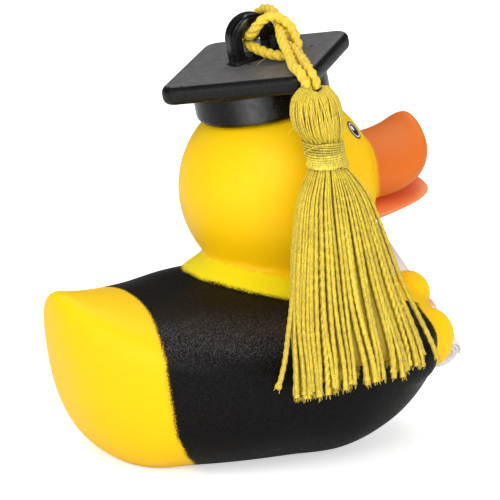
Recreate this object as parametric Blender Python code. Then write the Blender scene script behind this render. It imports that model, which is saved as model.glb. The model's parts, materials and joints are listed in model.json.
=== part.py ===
"""A graduation rubber duck: a hollow vinyl casting with a squeaker, and a thread tassel on a hitched cord.

Metres, +Z up. The duck faces -Y, so its left side is +X and its right side -X.
The origin lies on the flat base, straight below the middle of the head.
"""

import math

import bmesh
import bpy
from mathutils import Matrix, Vector

MM = 0.001

# Clearance between pieces that touch, and the reach of a cutter past what it cuts
GAP = 0.3 * MM
OVERCUT = 1.0 * MM
WELD = 0.003 * MM

# Casting walls
WALL = 2.2 * MM
BASE_WALL = 3.2 * MM

# Head
HEAD_RADIUS = 20.8 * MM
HEAD_HEIGHT = 54.0 * MM
NECK_RADIUS = 13.9 * MM
NECK_SET_BACK = 1.0 * MM
NECK_FOOT_HEIGHT = 27.0 * MM

# Collar: a sloping ring where the neck meets the body, higher at the back
COLLAR_OUTER_RADIUS = 18.8 * MM
COLLAR_INNER_RADIUS = 13.7 * MM
COLLAR_SEGMENTS = 44
COLLAR_RISE = 5.2 * MM
COLLAR_HEIGHT = 36.2 * MM
COLLAR_TILT = math.radians(12.0)

# Body: one station for each cross-section, from the tail's tip to the breast.
# Each has its distance forward, half width, underside, height of the widest line, and top, in millimetres.
# An underside below 0 is cut off level, which makes the flat base.
BODY_STATIONS_MM = (
    (-51.7, 0.0, 32.0, 32.0, 32.0),
    (-51.2, 5.0, 26.5, 31.5, 35.6),
    (-49.6, 9.0, 20.0, 30.0, 36.5),
    (-46.6, 14.5, 10.0, 28.0, 36.0),
    (-42.0, 20.0, 3.0, 25.5, 35.4),
    (-35.5, 26.0, -0.8, 23.5, 35.0),
    (-27.0, 31.0, -0.8, 22.0, 35.4),
    (-18.0, 33.6, -0.8, 21.0, 37.2),
    (-7.0, 34.2, -0.8, 20.5, 37.4),
    (4.0, 34.0, -0.8, 20.5, 35.0),
    (14.0, 31.0, 2.4, 21.0, 33.5),
    (22.0, 26.0, 7.0, 22.0, 32.5),
    (28.5, 19.0, 12.5, 22.5, 31.0),
    (32.5, 10.0, 17.0, 23.0, 28.5),
    (33.6, 0.0, 22.5, 22.5, 22.5),
)
BODY_RINGS = 26
BODY_SEGMENTS = 44
UNDERSIDE_SQUARENESS = 2.5
TOP_SQUARENESS = 1.8

# Sleeves: one swelling along each side, from behind the shoulder to the hand
SLEEVE_START = Vector((25.5, 26.0, 21.5)) * MM
SLEEVE_END = Vector((26.5, -18.0, 21.5)) * MM
SLEEVE_RADIUS = 6.0 * MM
SLEEVE_SWELL = 3.2 * MM

# Gown: its hem is the plane where the yellow of the tail begins
HEM_BACK = 30.0 * MM
HEM_LEAN = math.radians(11.0)

# Hands and the rolled diploma that they hold
RIGHT_HAND_AT = Vector((-12.5, -27.5, 21.5)) * MM
LEFT_HAND_AT = Vector((1.5, -28.5, 28.0)) * MM
HAND_SIZE = Vector((6.0, 5.6, 6.6)) * MM
DIPLOMA_RADIUS = 3.9 * MM
DIPLOMA_TOP = Vector((12.5, -27.5, 37.5)) * MM
DIPLOMA_FOOT = Vector((-16.5, -31.0, 17.0)) * MM
RIBBON_ALONG = 0.58
RIBBON_WIDTH = 2.0 * MM
RIBBON_RISE = 0.5 * MM

# Eyes: flat painted rounds on each side, by their direction from the middle of the head
EYE_OUT = 11.2 * MM
EYE_FORWARD = 12.1 * MM
EYE_UP = 12.6 * MM
EYE_RISE = 0.2 * MM
EYE_ROOT = 1.2 * MM
EYE_LAYERS = (("eye_rim", 3.0 * MM), ("eye_white", 2.4 * MM), ("eye_pupil", 1.5 * MM))

# Bill: stations forward of the middle of the head, as half width, lower edge and upper edge, in millimetres
UPPER_BILL_STATIONS_MM = (
    (8.0, 0.0, 2.5, 2.5),
    (10.0, 8.0, -2.5, 6.0),
    (15.0, 11.5, -4.5, 7.4),
    (19.5, 12.4, -4.0, 7.0),
    (23.5, 13.0, -2.9, 8.4),
    (27.0, 12.0, -1.4, 11.2),
    (29.7, 9.8, 0.6, 13.0),
    (31.2, 6.4, 3.2, 11.0),
    (31.7, 0.0, 7.4, 7.4),
)
LOWER_BILL_STATIONS_MM = (
    (8.0, 0.0, -6.5, -6.5),
    (10.5, 5.5, -9.0, -4.4),
    (16.0, 8.0, -8.6, -4.2),
    (22.5, 9.4, -6.7, -3.4),
    (28.5, 9.0, -4.4, -1.9),
    (32.0, 6.0, -3.0, -0.9),
    (33.2, 0.0, -1.7, -1.7),
)
BILL_TOP_SQUARENESS = 1.7
BILL_UNDER_SQUARENESS = 2.3
BILL_DROOP = 0.1
BILL_RINGS = 12
BILL_SEGMENTS = 20

# Cap: it sits square to an axis through the middle of the head, which leans back
CAP_LEAN = math.radians(12.0)
CAP_TOP_FROM_HEAD = 27.8 * MM
CAP_SET_FORWARD = 0.5 * MM
BOARD_SIDE = 32.6 * MM
BOARD_THICKNESS = 4.0 * MM
BOARD_CORNER_RADIUS = 2.6 * MM
BOARD_EDGE_ROUNDING = 1.0 * MM
BAND_RADIUS = 14.2 * MM
BAND_DROP = 6.7 * MM
BAND_ROUNDING = 1.2 * MM

# Eye loop on the board: a strap bent over into an arch, with its hole running from side to side
LOOP_LENGTH = 10.6 * MM
LOOP_HEIGHT = 9.9 * MM
LOOP_WIDTH = 4.2 * MM
LOOP_STRAP = 2.5 * MM
LOOP_SILL = 1.3 * MM
LOOP_ROUNDING = 0.7 * MM

# Squeaker: a grommet in a recess of the base, with a reed in its bore
SQUEAKER_BACK = 18.0 * MM
HOLE_RADIUS = 5.0 * MM
RECESS_RADIUS = 7.4 * MM
RECESS_DEPTH = 1.4 * MM
SQUEAKER_FLANGE = 0.9 * MM
SQUEAKER_LIP = 1.1 * MM
SQUEAKER_LENGTH = 9.0 * MM
SQUEAKER_BORE = 2.6 * MM
REED_WALL = 0.6 * MM
REED_LENGTH = 5.0 * MM
REED_STOP = 1.2 * MM

# Cord
CORD_DIAMETER = 1.95 * MM
CORD_STEPS = 2
# The route in the cap's own directions, in millimetres: forward, to the right, and up from the board's top.
CORD_ROUTE_MM = (
    (-1.0, 24.4, -2.5),
    (-1.0, 24.3, -1.0),
    (-1.1, 23.5, 0.4),
    (-1.0, 21.8, 1.4),
    (-0.8, 19.8, 1.6),
    (0.1, 17.5, 1.9),
    (1.0, 14.8, 2.9),
    (1.7, 12.0, 4.2),
    (2.5, 9.6, 5.4),
    (3.6, 7.4, 6.3),
    (4.5, 5.2, 7.4),
    (5.2, 2.8, 8.7),
    (5.2, 0.0, 9.2),
    (4.9, -2.4, 8.8),
    (3.4, -3.9, 7.3),
    (1.2, -4.0, 5.9),
    (-0.6, -1.4, 5.5),
    (-0.9, 1.4, 5.6),
    (-0.9, 3.4, 6.3),
    (-0.1, 4.9, 8.0),
    (1.8, 5.8, 9.2),
    (3.9, 7.0, 8.8),
    (5.2, 8.6, 6.9),
    (5.5, 9.6, 4.6),
    (5.1, 10.6, 2.2),
    (3.7, 10.4, 1.3),
    (2.0, 8.9, 1.4),
    (0.7, 6.6, 1.8),
    (-0.3, 4.4, 2.5),
    (-0.9, 2.4, 3.2),
    (-0.9, 0.3, 3.3),
    (0.0, -2.0, 3.2),
    (2.0, -3.9, 3.3),
    (4.4, -4.0, 3.9),
    (6.6, -2.4, 4.4),
    (7.0, 0.4, 4.7),
    (6.0, 3.4, 4.6),
    (4.6, 6.4, 4.1),
    (3.4, 9.3, 3.4),
    (3.3, 12.4, 3.1),
    (2.7, 16.2, 2.2),
    (1.7, 20.0, 1.6),
    (1.1, 22.2, 1.2),
    (1.0, 23.6, 0.2),
    (1.1, 24.3, -1.2),
    (1.1, 24.4, -2.7),
)

# Tassel: its middle line and half sizes, from the head of threads to the strands' ends, in millimetres.
# Forward, to the duck's right, up from the middle of the head, half size fore and aft, half size across.
TASSEL_STATIONS_MM = (
    (-4.3, 24.6, 24.3, 2.6, 2.2),
    (-4.2, 24.8, 23.0, 4.6, 3.7),
    (-3.9, 25.0, 19.4, 5.2, 4.8),
    (-3.2, 25.0, 16.0, 4.6, 4.4),
    (-2.5, 25.0, 14.2, 3.2, 3.2),
    (-1.5, 25.1, 9.0, 3.2, 3.2),
    (-1.1, 25.6, 6.6, 5.4, 3.8),
    (-0.9, 27.2, 2.1, 8.3, 4.2),
    (-0.8, 29.9, -6.0, 10.8, 4.4),
    (-0.9, 33.2, -14.8, 13.1, 4.4),
    (-0.8, 36.2, -21.5, 14.9, 4.2),
    (-0.6, 38.9, -27.4, 16.0, 4.0),
    (-0.8, 40.6, -31.8, 16.4, 3.9),
)
RINGS_PER_STATION = 2
WAIST_TOP_INDEX = 4
WAIST_FOOT_INDEX = 5
TASSEL_FRONT_RISE = 2.4 * MM
STRANDS = 22
POINTS_PER_STRAND = 4
STRAND_RIDGE = 0.42 * MM
FOLD_RIDGE = 0.1 * MM
STRAND_UNEVENNESS = 1.5 * MM
BINDING_WRAPS = 7
BINDING_THREAD = 0.35 * MM
BINDING_SEGMENTS = 20

HEAD_AT = Vector((0, 0, HEAD_HEIGHT))


def clear_scene():
    for obj in list(bpy.data.objects):
        bpy.data.objects.remove(obj)


def make_collection(name, shown=True):
    collection = bpy.data.collections.new(name)
    bpy.context.scene.collection.children.link(collection)
    collection.hide_render = not shown
    return collection


def make_material(name, colour, roughness, metallic=0.0):
    material = bpy.data.materials.new(name)
    material.use_nodes = True
    shader = material.node_tree.nodes["Principled BSDF"]
    shader.inputs["Base Color"].default_value = (*colour, 1)
    shader.inputs["Roughness"].default_value = roughness
    shader.inputs["Metallic"].default_value = metallic
    return material


def add_mesh(name, mesh_maker, collection, material=None):
    mesh = bpy.data.meshes.new(name)
    bm = bmesh.new()
    mesh_maker(bm)
    bmesh.ops.recalc_face_normals(bm, faces=bm.faces)
    bm.to_mesh(mesh)
    bm.free()
    obj = bpy.data.objects.new(name, mesh)
    collection.objects.link(obj)
    if material:
        mesh.materials.append(material)
    return obj


def join(obj, other, operation):
    modifier = obj.modifiers.new(f"{operation.lower()}_{other.name}", "BOOLEAN")
    modifier.operation = operation
    modifier.object = other
    modifier.solver = "EXACT"
    modifier.material_mode = "TRANSFER"
    other.hide_render = True
    other.display_type = "WIRE"


def smooth_row(rows, along):
    """The row of numbers at a place along the list, 0 to 1, on a curve through all the rows."""
    place = along * (len(rows) - 1)
    index = min(int(place), len(rows) - 2)
    t = place - index
    before = rows[max(index - 1, 0)]
    start, end = rows[index], rows[index + 1]
    after = rows[min(index + 2, len(rows) - 1)]
    return [
        0.5 * (2 * b + (c - a) * t + (2 * a - 5 * b + 4 * c - d) * t**2 + (3 * b - a - 3 * c + d) * t**3)
        for a, b, c, d in zip(before, start, end, after)
    ]


def rounded(value, squareness):
    """A cosine or sine, pushed out towards a square as squareness goes past 2."""
    return math.copysign(abs(value) ** (2 / squareness), value)


def lathe_along_y(bm, rings, segments, section):
    """A closed skin with its poles at the front and back, each ring laid on section(along, angle)."""
    turn = Matrix.Rotation(math.pi / 2, 4, "X")
    made = bmesh.ops.create_uvsphere(bm, u_segments=segments, v_segments=rings, radius=1, matrix=turn)
    for vert in made["verts"]:
        along = math.acos(max(-1.0, min(1.0, -vert.co.y))) / math.pi
        angle = math.atan2(vert.co.z, vert.co.x)
        vert.co = section(1 - along, angle)


def body_section(inset, floor):
    """Cross-sections of the body, drawn in by inset and never below floor."""
    half_run = (BODY_STATIONS_MM[-1][0] - BODY_STATIONS_MM[0][0]) * MM / 2
    middle_back = -(BODY_STATIONS_MM[-1][0] + BODY_STATIONS_MM[0][0]) * MM / 2

    def at(along, angle):
        forward, half_width, low, middle, top = (v * MM for v in smooth_row(BODY_STATIONS_MM, along))
        back = middle_back - (forward + middle_back) * (half_run - inset) / half_run
        if math.sin(angle) < 0:
            squareness = UNDERSIDE_SQUARENESS
            reach = max(middle - low - inset, 0)
        else:
            squareness = TOP_SQUARENESS
            reach = max(top - middle - inset, 0)
        across = max(half_width - inset, 0) * rounded(math.cos(angle), squareness)
        height = middle + reach * rounded(math.sin(angle), squareness)
        return Vector((across, back, max(height, floor)))

    return at


def bill_section(stations):
    def at(along, angle):
        forward, half_width, low, top = (v * MM for v in smooth_row(stations, along))
        middle, half_height = (low + top) / 2, (top - low) / 2
        # The bill's sides curl down a little from its middle line.
        droop = BILL_DROOP * half_width * math.cos(angle) ** 2
        squareness = BILL_TOP_SQUARENESS if math.sin(angle) > 0 else BILL_UNDER_SQUARENESS
        across = half_width * rounded(math.cos(angle), squareness)
        height = middle + half_height * rounded(math.sin(angle), squareness) - droop
        return HEAD_AT + Vector((across, -forward, height))

    return at


def bill(stations):
    def make(bm):
        lathe_along_y(bm, BILL_RINGS, BILL_SEGMENTS, bill_section(stations))

    return make


def cap_matrix():
    """The board's top in the duck's frame: X to the left, Y back, Z out of the board."""
    lean = Matrix.Rotation(-CAP_LEAN, 4, "X")
    return Matrix.Translation(HEAD_AT) @ lean @ Matrix.Translation((0, -CAP_SET_FORWARD, CAP_TOP_FROM_HEAD))


def from_cap(forward, right, up):
    return cap_matrix() @ Vector((-right, -forward, up))


def body_skin(bm):
    """The body's outside: faces in front of the hem take the second slot, the gown."""
    lathe_along_y(bm, BODY_RINGS, BODY_SEGMENTS, body_section(0.0, 0.0))
    hem_at = Vector((0, HEM_BACK, 0))
    hem_normal = Vector((0, math.cos(HEM_LEAN), -math.sin(HEM_LEAN)))
    everything = bm.verts[:] + bm.edges[:] + bm.faces[:]
    bmesh.ops.bisect_plane(bm, geom=everything, plane_co=hem_at, plane_no=hem_normal, dist=WELD)
    for face in bm.faces:
        face.material_index = int((face.calc_center_median() - hem_at).dot(hem_normal) < 0)


def cavity_skin(bm):
    lathe_along_y(bm, BODY_RINGS // 2, BODY_SEGMENTS // 2, body_section(WALL, BASE_WALL))


def ball(radius, segments, rings, centre):
    def make(bm):
        bmesh.ops.create_uvsphere(
            bm, u_segments=segments, v_segments=rings, radius=radius, matrix=Matrix.Translation(centre)
        )

    return make


def neck(wall, segments):
    def make(bm):
        height = HEAD_HEIGHT - NECK_FOOT_HEIGHT
        at = Matrix.Translation((0, NECK_SET_BACK, NECK_FOOT_HEIGHT + height / 2))
        bmesh.ops.create_cone(
            bm, cap_ends=True, segments=segments, depth=height, matrix=at,
            radius1=NECK_RADIUS - wall, radius2=NECK_RADIUS - wall,
        )

    return make


def collar(bm):
    at = Matrix.Translation((0, NECK_SET_BACK, COLLAR_HEIGHT)) @ Matrix.Rotation(COLLAR_TILT, 4, "X")
    bmesh.ops.create_cone(
        bm, cap_ends=True, segments=COLLAR_SEGMENTS, depth=COLLAR_RISE, matrix=at,
        radius1=COLLAR_OUTER_RADIUS, radius2=COLLAR_INNER_RADIUS,
    )


def capsule(start, end, radius, swell, segments=14, rings=10):
    """A rounded bar between two points, thicker at its middle by swell."""

    def make(bm):
        run = end - start
        turn = run.to_track_quat("Z", "Y").to_matrix().to_4x4()
        made = bmesh.ops.create_uvsphere(bm, u_segments=segments, v_segments=rings, radius=1)
        for vert in made["verts"]:
            height = vert.co.z * (run.length / 2 + radius)
            wide = (radius + swell) * math.hypot(vert.co.x, vert.co.y) ** 0.8
            angle = math.atan2(vert.co.y, vert.co.x)
            vert.co = Vector((wide * math.cos(angle), wide * math.sin(angle), height))
        bmesh.ops.transform(bm, matrix=Matrix.Translation((start + end) / 2) @ turn, verts=bm.verts)

    return make


def hand(centre):
    def make(bm):
        at = Matrix.Translation(centre) @ Matrix.Diagonal((*HAND_SIZE, 1))
        bmesh.ops.create_uvsphere(bm, u_segments=14, v_segments=9, radius=1, matrix=at)

    return make


def rolled_bar(start, end, radius, segments):
    def make(bm):
        run = end - start
        turn = run.to_track_quat("Z", "Y").to_matrix().to_4x4()
        at = Matrix.Translation((start + end) / 2) @ turn
        bmesh.ops.create_cone(
            bm, cap_ends=True, segments=segments, radius1=radius, radius2=radius, depth=run.length, matrix=at
        )

    return make


def eye(side, radius, layer):
    """One of the painted rounds of an eye, standing higher with each layer."""

    def make(bm):
        out = Vector((side * EYE_OUT, -EYE_FORWARD, EYE_UP)).normalized()
        turn = out.to_track_quat("Z", "Y").to_matrix().to_4x4()
        depth = EYE_ROOT + EYE_RISE * layer
        at = Matrix.Translation(HEAD_AT + out * (HEAD_RADIUS - EYE_ROOT + depth / 2)) @ turn
        bmesh.ops.create_cone(
            bm, cap_ends=True, segments=20, radius1=radius, radius2=radius - EYE_RISE, depth=depth, matrix=at
        )

    return make


def ribbon(bm):
    middle = DIPLOMA_TOP.lerp(DIPLOMA_FOOT, RIBBON_ALONG)
    half = (DIPLOMA_FOOT - DIPLOMA_TOP).normalized() * RIBBON_WIDTH / 2
    rolled_bar(middle - half, middle + half, DIPLOMA_RADIUS + RIBBON_RISE, 20)(bm)


def board(bm):
    side = BOARD_SIDE
    bmesh.ops.create_cube(bm, size=1, matrix=Matrix.Diagonal((side, side, BOARD_THICKNESS, 1)))
    upright = [e for e in bm.edges if abs(e.verts[0].co.z - e.verts[1].co.z) > BOARD_THICKNESS / 2]
    bevel(bm, upright, BOARD_CORNER_RADIUS, 4)
    rim = [e for e in bm.edges if abs(e.verts[0].co.z - e.verts[1].co.z) < WELD]
    bevel(bm, rim, BOARD_EDGE_ROUNDING, 2)
    corner_forward = Matrix.Rotation(math.pi / 4, 4, "Z")
    down = Matrix.Translation((0, 0, -BOARD_THICKNESS / 2))
    bmesh.ops.transform(bm, matrix=cap_matrix() @ down @ corner_forward, verts=bm.verts)


def bevel(bm, edges, width, segments):
    bmesh.ops.bevel(
        bm, geom=edges, offset=width, segments=segments, profile=0.5, affect="EDGES", material=-1
    )


def band(bm):
    depth = BAND_DROP + BOARD_THICKNESS / 2
    bmesh.ops.create_cone(
        bm, cap_ends=True, segments=48, radius1=BAND_RADIUS, radius2=BAND_RADIUS, depth=depth
    )
    rim = [e for e in bm.edges if all(v.co.z < 0 for v in e.verts)]
    bevel(bm, rim, BAND_ROUNDING, 2)
    down = Matrix.Translation((0, 0, -(BOARD_THICKNESS + depth) / 2))
    bmesh.ops.transform(bm, matrix=cap_matrix() @ down, verts=bm.verts)


def arch_outline(half_length, height, foot):
    """Half round over two upright legs, as points (along, up) from the back foot to the front foot."""
    spring = height - half_length
    points = [(-half_length, foot)]
    points += [
        (-half_length * math.cos(step * math.pi / 10), spring + half_length * math.sin(step * math.pi / 10))
        for step in range(11)
    ]
    points.append((half_length, foot))
    return points


def arch_block(half_length, height, foot, width, rounding):
    def make(bm):
        outline = arch_outline(half_length, height, foot)
        verts = [bm.verts.new((-width / 2, along, up)) for along, up in outline]
        face = bm.faces.new(verts)
        side = bmesh.ops.extrude_face_region(bm, geom=[face])
        moved = [v for v in side["geom"] if isinstance(v, bmesh.types.BMVert)]
        bmesh.ops.translate(bm, verts=moved, vec=(width, 0, 0))
        if rounding:
            flat = [e for e in bm.edges if abs(e.verts[0].co.x - e.verts[1].co.x) < WELD]
            rim = [e for e in flat if max(v.co.z for v in e.verts) > foot + WELD]
            bevel(bm, rim, rounding, 2)
        bmesh.ops.transform(bm, matrix=cap_matrix(), verts=bm.verts)

    return make


def turned(profile, segments, at):
    """A turned ring or plug from (radius, height) points, closed on itself round the axis."""

    def make(bm):
        verts = [bm.verts.new((radius, 0, height)) for radius, height in profile]
        edges = [bm.edges.new((a, b)) for a, b in zip(verts, verts[1:] + verts[:1])]
        bmesh.ops.spin(
            bm, geom=verts + edges, cent=(0, 0, 0), axis=(0, 0, 1), dvec=(0, 0, 0),
            angle=2 * math.pi, steps=segments, use_merge=True, use_duplicate=False,
        )
        bmesh.ops.remove_doubles(bm, verts=bm.verts, dist=WELD)
        bmesh.ops.transform(bm, matrix=at, verts=bm.verts)

    return make


def plug(radius, low, high, segments):
    def make(bm):
        at = Matrix.Translation((0, SQUEAKER_BACK, (low + high) / 2))
        bmesh.ops.create_cone(
            bm, cap_ends=True, segments=segments, radius1=radius, radius2=radius, depth=high - low, matrix=at
        )

    return make


def squeaker_housing():
    shelf = RECESS_DEPTH
    inside = BASE_WALL + GAP
    return turned(
        (
            (SQUEAKER_BORE, shelf - GAP - SQUEAKER_FLANGE),
            (RECESS_RADIUS - GAP, shelf - GAP - SQUEAKER_FLANGE),
            (RECESS_RADIUS - GAP, shelf - GAP),
            (HOLE_RADIUS - GAP, shelf - GAP),
            (HOLE_RADIUS - GAP, inside),
            (HOLE_RADIUS + SQUEAKER_LIP, inside),
            (HOLE_RADIUS - GAP, inside + 2 * SQUEAKER_LIP),
            (HOLE_RADIUS - GAP, SQUEAKER_LENGTH),
            (SQUEAKER_BORE - REED_WALL, SQUEAKER_LENGTH),
            (SQUEAKER_BORE - REED_WALL, SQUEAKER_LENGTH - REED_STOP),
            (SQUEAKER_BORE, SQUEAKER_LENGTH - REED_STOP),
        ),
        32,
        Matrix.Translation((0, SQUEAKER_BACK, 0)),
    )


def squeaker_reed():
    top = SQUEAKER_LENGTH - REED_STOP - GAP
    outer = SQUEAKER_BORE - GAP
    return turned(
        (
            (outer - REED_WALL, top - REED_LENGTH),
            (outer, top - REED_LENGTH),
            (outer, top),
            (outer - REED_WALL, top),
        ),
        24,
        Matrix.Translation((0, SQUEAKER_BACK, 0)),
    )


def strand_length(strand):
    """How far a strand's end hangs above or below the others, the same each time."""
    return STRAND_UNEVENNESS * (0.6 * math.sin(2.4 * strand) + 0.4 * math.sin(5.1 * strand + 1))


def tassel_ring(along, segments):
    """One ring of the tassel: ridges for the strands, on an oval round the middle line."""
    forward, right, up, half_long, half_wide = (v * MM for v in smooth_row(TASSEL_STATIONS_MM, along))
    waist = WAIST_FOOT_INDEX / (len(TASSEL_STATIONS_MM) - 1)
    hang = max(0.0, (along - waist) / (1 - waist))
    points = []
    for step in range(segments):
        angle = 2 * math.pi * step / segments
        strand, place = divmod(step, POINTS_PER_STRAND)
        depth = STRAND_RIDGE if hang else FOLD_RIDGE
        ridge = depth * math.cos(2 * math.pi * place / POINTS_PER_STRAND)
        drop = strand_length(strand) * hang**4 + TASSEL_FRONT_RISE * hang**2 * math.sin(angle)
        x = -(right + (half_wide + ridge) * math.cos(angle))
        y = -(forward + (half_long + ridge) * math.sin(angle))
        points.append(Vector((x, y, HEAD_HEIGHT + up + drop)))
    return points


def tassel_threads(bm):
    segments = STRANDS * POINTS_PER_STRAND
    made = bmesh.ops.create_circle(bm, cap_ends=True, segments=segments, radius=1)
    ring = made["verts"]
    for vert, point in zip(ring, tassel_ring(0.0, segments)):
        vert.co = point
    face = bm.faces[:][0]
    rings = RINGS_PER_STATION * (len(TASSEL_STATIONS_MM) - 1)
    for step in range(1, rings + 1):
        grown = bmesh.ops.extrude_discrete_faces(bm, faces=[face])
        new_face = grown["faces"][0]
        side = list(new_face.verts)
        raise_to = tassel_ring(step / rings, segments)
        for vert, point in zip(side, raise_to):
            vert.co = point
        face = new_face
    opened = bmesh.ops.holes_fill(bm, edges=[e for e in bm.edges if e.is_boundary], sides=0)
    bmesh.ops.poke(bm, faces=[face, *opened["faces"]])


def binding():
    """The wound thread as a ring with one ridge for each wrap, on the tassel's waist."""
    top = tassel_waist(WAIST_TOP_INDEX)
    foot = tassel_waist(WAIST_FOOT_INDEX)
    run = top - foot
    inner = TASSEL_STATIONS_MM[WAIST_TOP_INDEX][3] * MM + FOLD_RIDGE + GAP
    length = run.length - 2 * GAP
    profile = [(inner, 0), (inner, length)]
    pitch = length / BINDING_WRAPS
    for wrap in range(BINDING_WRAPS):
        high = length - wrap * pitch
        profile += [
            (inner + BINDING_THREAD, high),
            (inner + 2 * BINDING_THREAD, high - pitch / 2),
        ]
    profile.append((inner + BINDING_THREAD, 0))
    turn = run.to_track_quat("Z", "Y").to_matrix().to_4x4()
    at = Matrix.Translation(foot + run.normalized() * GAP) @ turn
    return turned(profile, BINDING_SEGMENTS, at)


def tassel_waist(station):
    forward, right, up = (v * MM for v in TASSEL_STATIONS_MM[station][:3])
    return Vector((-right, -forward, HEAD_HEIGHT + up))


def cord_points():
    route = [from_cap(*(v * MM for v in point)) for point in CORD_ROUTE_MM]
    count = CORD_STEPS * (len(route) - 1)
    return [Vector(smooth_row(route, step / count)) for step in range(count + 1)]


def add_cord(collection, material):
    curve = bpy.data.curves.new("tassel_cord", "CURVE")
    curve.dimensions = "3D"
    spline = curve.splines.new("POLY")
    points = cord_points()
    spline.points.add(len(points) - 1)
    for place, point in zip(spline.points, points):
        place.co = (*point, 1)
    curve.bevel_depth = CORD_DIAMETER / 2
    curve.bevel_resolution = 2
    curve.use_fill_caps = True
    obj = bpy.data.objects.new("tassel_cord", curve)
    curve.materials.append(material)
    collection.objects.link(obj)
    return obj


def build_body(parts, cutters, paints):
    """The casting: forms joined in their own colours, then its hollows cut."""
    body = add_mesh("duck_body", body_skin, parts)
    body.data.materials.append(paints["yellow"])
    body.data.materials.append(paints["black"])
    loop_outside = arch_block(LOOP_LENGTH / 2, LOOP_HEIGHT, -BOARD_THICKNESS / 2, LOOP_WIDTH, LOOP_ROUNDING)
    left_sleeve = capsule(SLEEVE_START, SLEEVE_END, SLEEVE_RADIUS, SLEEVE_SWELL)
    right_sleeve = capsule(mirrored(SLEEVE_START), mirrored(SLEEVE_END), SLEEVE_RADIUS, SLEEVE_SWELL)
    additions = [
        ("neck_form", neck(0, 40), "yellow"),
        ("collar_form", collar, "lemon"),
        ("head_form", ball(HEAD_RADIUS, 40, 26, HEAD_AT), "yellow"),
        ("upper_bill_form", bill(UPPER_BILL_STATIONS_MM), "orange"),
        ("lower_bill_form", bill(LOWER_BILL_STATIONS_MM), "orange"),
        ("left_sleeve_form", left_sleeve, "black"),
        ("right_sleeve_form", right_sleeve, "black"),
        ("diploma_form", rolled_bar(DIPLOMA_TOP, DIPLOMA_FOOT, DIPLOMA_RADIUS, 18), "white"),
        ("ribbon_form", ribbon, "salmon"),
        ("left_hand_form", hand(LEFT_HAND_AT), "yellow"),
        ("right_hand_form", hand(RIGHT_HAND_AT), "yellow"),
        ("band_form", band, "black"),
        ("board_form", board, "black"),
        ("loop_form", loop_outside, "black"),
    ]
    for side, name in ((1, "left"), (-1, "right")):
        for layer, (round_name, radius) in enumerate(EYE_LAYERS):
            paint = "white" if layer == 1 else "black"
            additions.append((f"{name}_{round_name}_form", eye(side, radius, layer), paint))
    hole_half = LOOP_LENGTH / 2 - LOOP_STRAP
    loop_inside = arch_block(hole_half, LOOP_HEIGHT - LOOP_STRAP, LOOP_SILL, LOOP_WIDTH + 2 * OVERCUT, 0)
    removals = [
        ("loop_hole", loop_inside, "black"),
        ("body_cavity", cavity_skin, "yellow"),
        ("neck_cavity", neck(WALL, 20), "yellow"),
        ("head_cavity", ball(HEAD_RADIUS - WALL, 24, 16, HEAD_AT), "yellow"),
        ("squeaker_hole", plug(HOLE_RADIUS, -OVERCUT, BASE_WALL + OVERCUT, 32), "yellow"),
        ("squeaker_recess", plug(RECESS_RADIUS, -OVERCUT, RECESS_DEPTH, 32), "yellow"),
    ]
    for name, maker, paint in additions:
        join(body, add_mesh(name, maker, cutters, paints[paint]), "UNION")
    for name, maker, paint in removals:
        join(body, add_mesh(name, maker, cutters, paints[paint]), "DIFFERENCE")
    return body


def mirrored(point):
    return Vector((-point.x, point.y, point.z))


def main():
    clear_scene()
    parts = make_collection("graduation_duck")
    cutters = make_collection("forms_and_cutters", shown=False)
    paints = {
        "yellow": make_material("duck_vinyl", (0.97, 0.66, 0.01), 0.4),
        "lemon": make_material("collar_vinyl", (0.87, 0.68, 0.01), 0.4),
        "black": make_material("gown_paint", (0.012, 0.011, 0.011), 0.35),
        "orange": make_material("bill_paint", (0.85, 0.15, 0.03), 0.4),
        "salmon": make_material("ribbon_paint", (0.90, 0.30, 0.16), 0.4),
        "white": make_material("paper_paint", (0.90, 0.90, 0.88), 0.4),
    }
    thread = make_material("tassel_thread", (0.70, 0.50, 0.06), 0.5)
    nylon = make_material("squeaker_plastic", (0.85, 0.85, 0.82), 0.4)
    build_body(parts, cutters, paints)
    add_mesh("squeaker_housing", squeaker_housing(), parts, nylon)
    add_mesh("squeaker_reed", squeaker_reed(), parts, nylon)
    add_cord(parts, thread)
    add_mesh("tassel_threads", tassel_threads, parts, thread)
    add_mesh("tassel_binding", binding(), parts, thread)


main()
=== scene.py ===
"""The look of the graduation rubber duck: vinyl skin, painted fields, cap, twisted cord and thread tassel.

Metres, +Z up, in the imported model's frame. The duck faces -Y, so its right side is -X.
"""

import json
import logging
import math
import random
from collections.abc import Callable, Sequence
from dataclasses import dataclass, field
from enum import Enum

import bmesh
import bpy
import numpy as np
from mathutils import Matrix, Vector

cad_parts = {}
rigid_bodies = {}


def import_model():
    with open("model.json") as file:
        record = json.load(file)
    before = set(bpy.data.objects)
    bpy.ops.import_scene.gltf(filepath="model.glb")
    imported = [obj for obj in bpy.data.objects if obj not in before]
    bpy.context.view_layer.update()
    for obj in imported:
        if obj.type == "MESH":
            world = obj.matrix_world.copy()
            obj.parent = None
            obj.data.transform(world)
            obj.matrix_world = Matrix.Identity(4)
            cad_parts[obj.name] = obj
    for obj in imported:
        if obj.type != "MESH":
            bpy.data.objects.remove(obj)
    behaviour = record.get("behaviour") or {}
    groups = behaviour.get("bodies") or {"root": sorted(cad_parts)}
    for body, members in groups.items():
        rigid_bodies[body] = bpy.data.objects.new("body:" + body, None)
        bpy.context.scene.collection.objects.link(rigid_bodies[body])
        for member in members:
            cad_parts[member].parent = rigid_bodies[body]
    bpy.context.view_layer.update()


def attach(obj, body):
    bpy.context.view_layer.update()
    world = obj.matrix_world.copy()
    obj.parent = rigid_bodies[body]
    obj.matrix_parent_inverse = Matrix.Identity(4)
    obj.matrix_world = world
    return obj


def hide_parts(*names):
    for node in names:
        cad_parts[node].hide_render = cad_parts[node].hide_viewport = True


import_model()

LOG = logging.getLogger("graduation_duck")
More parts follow.
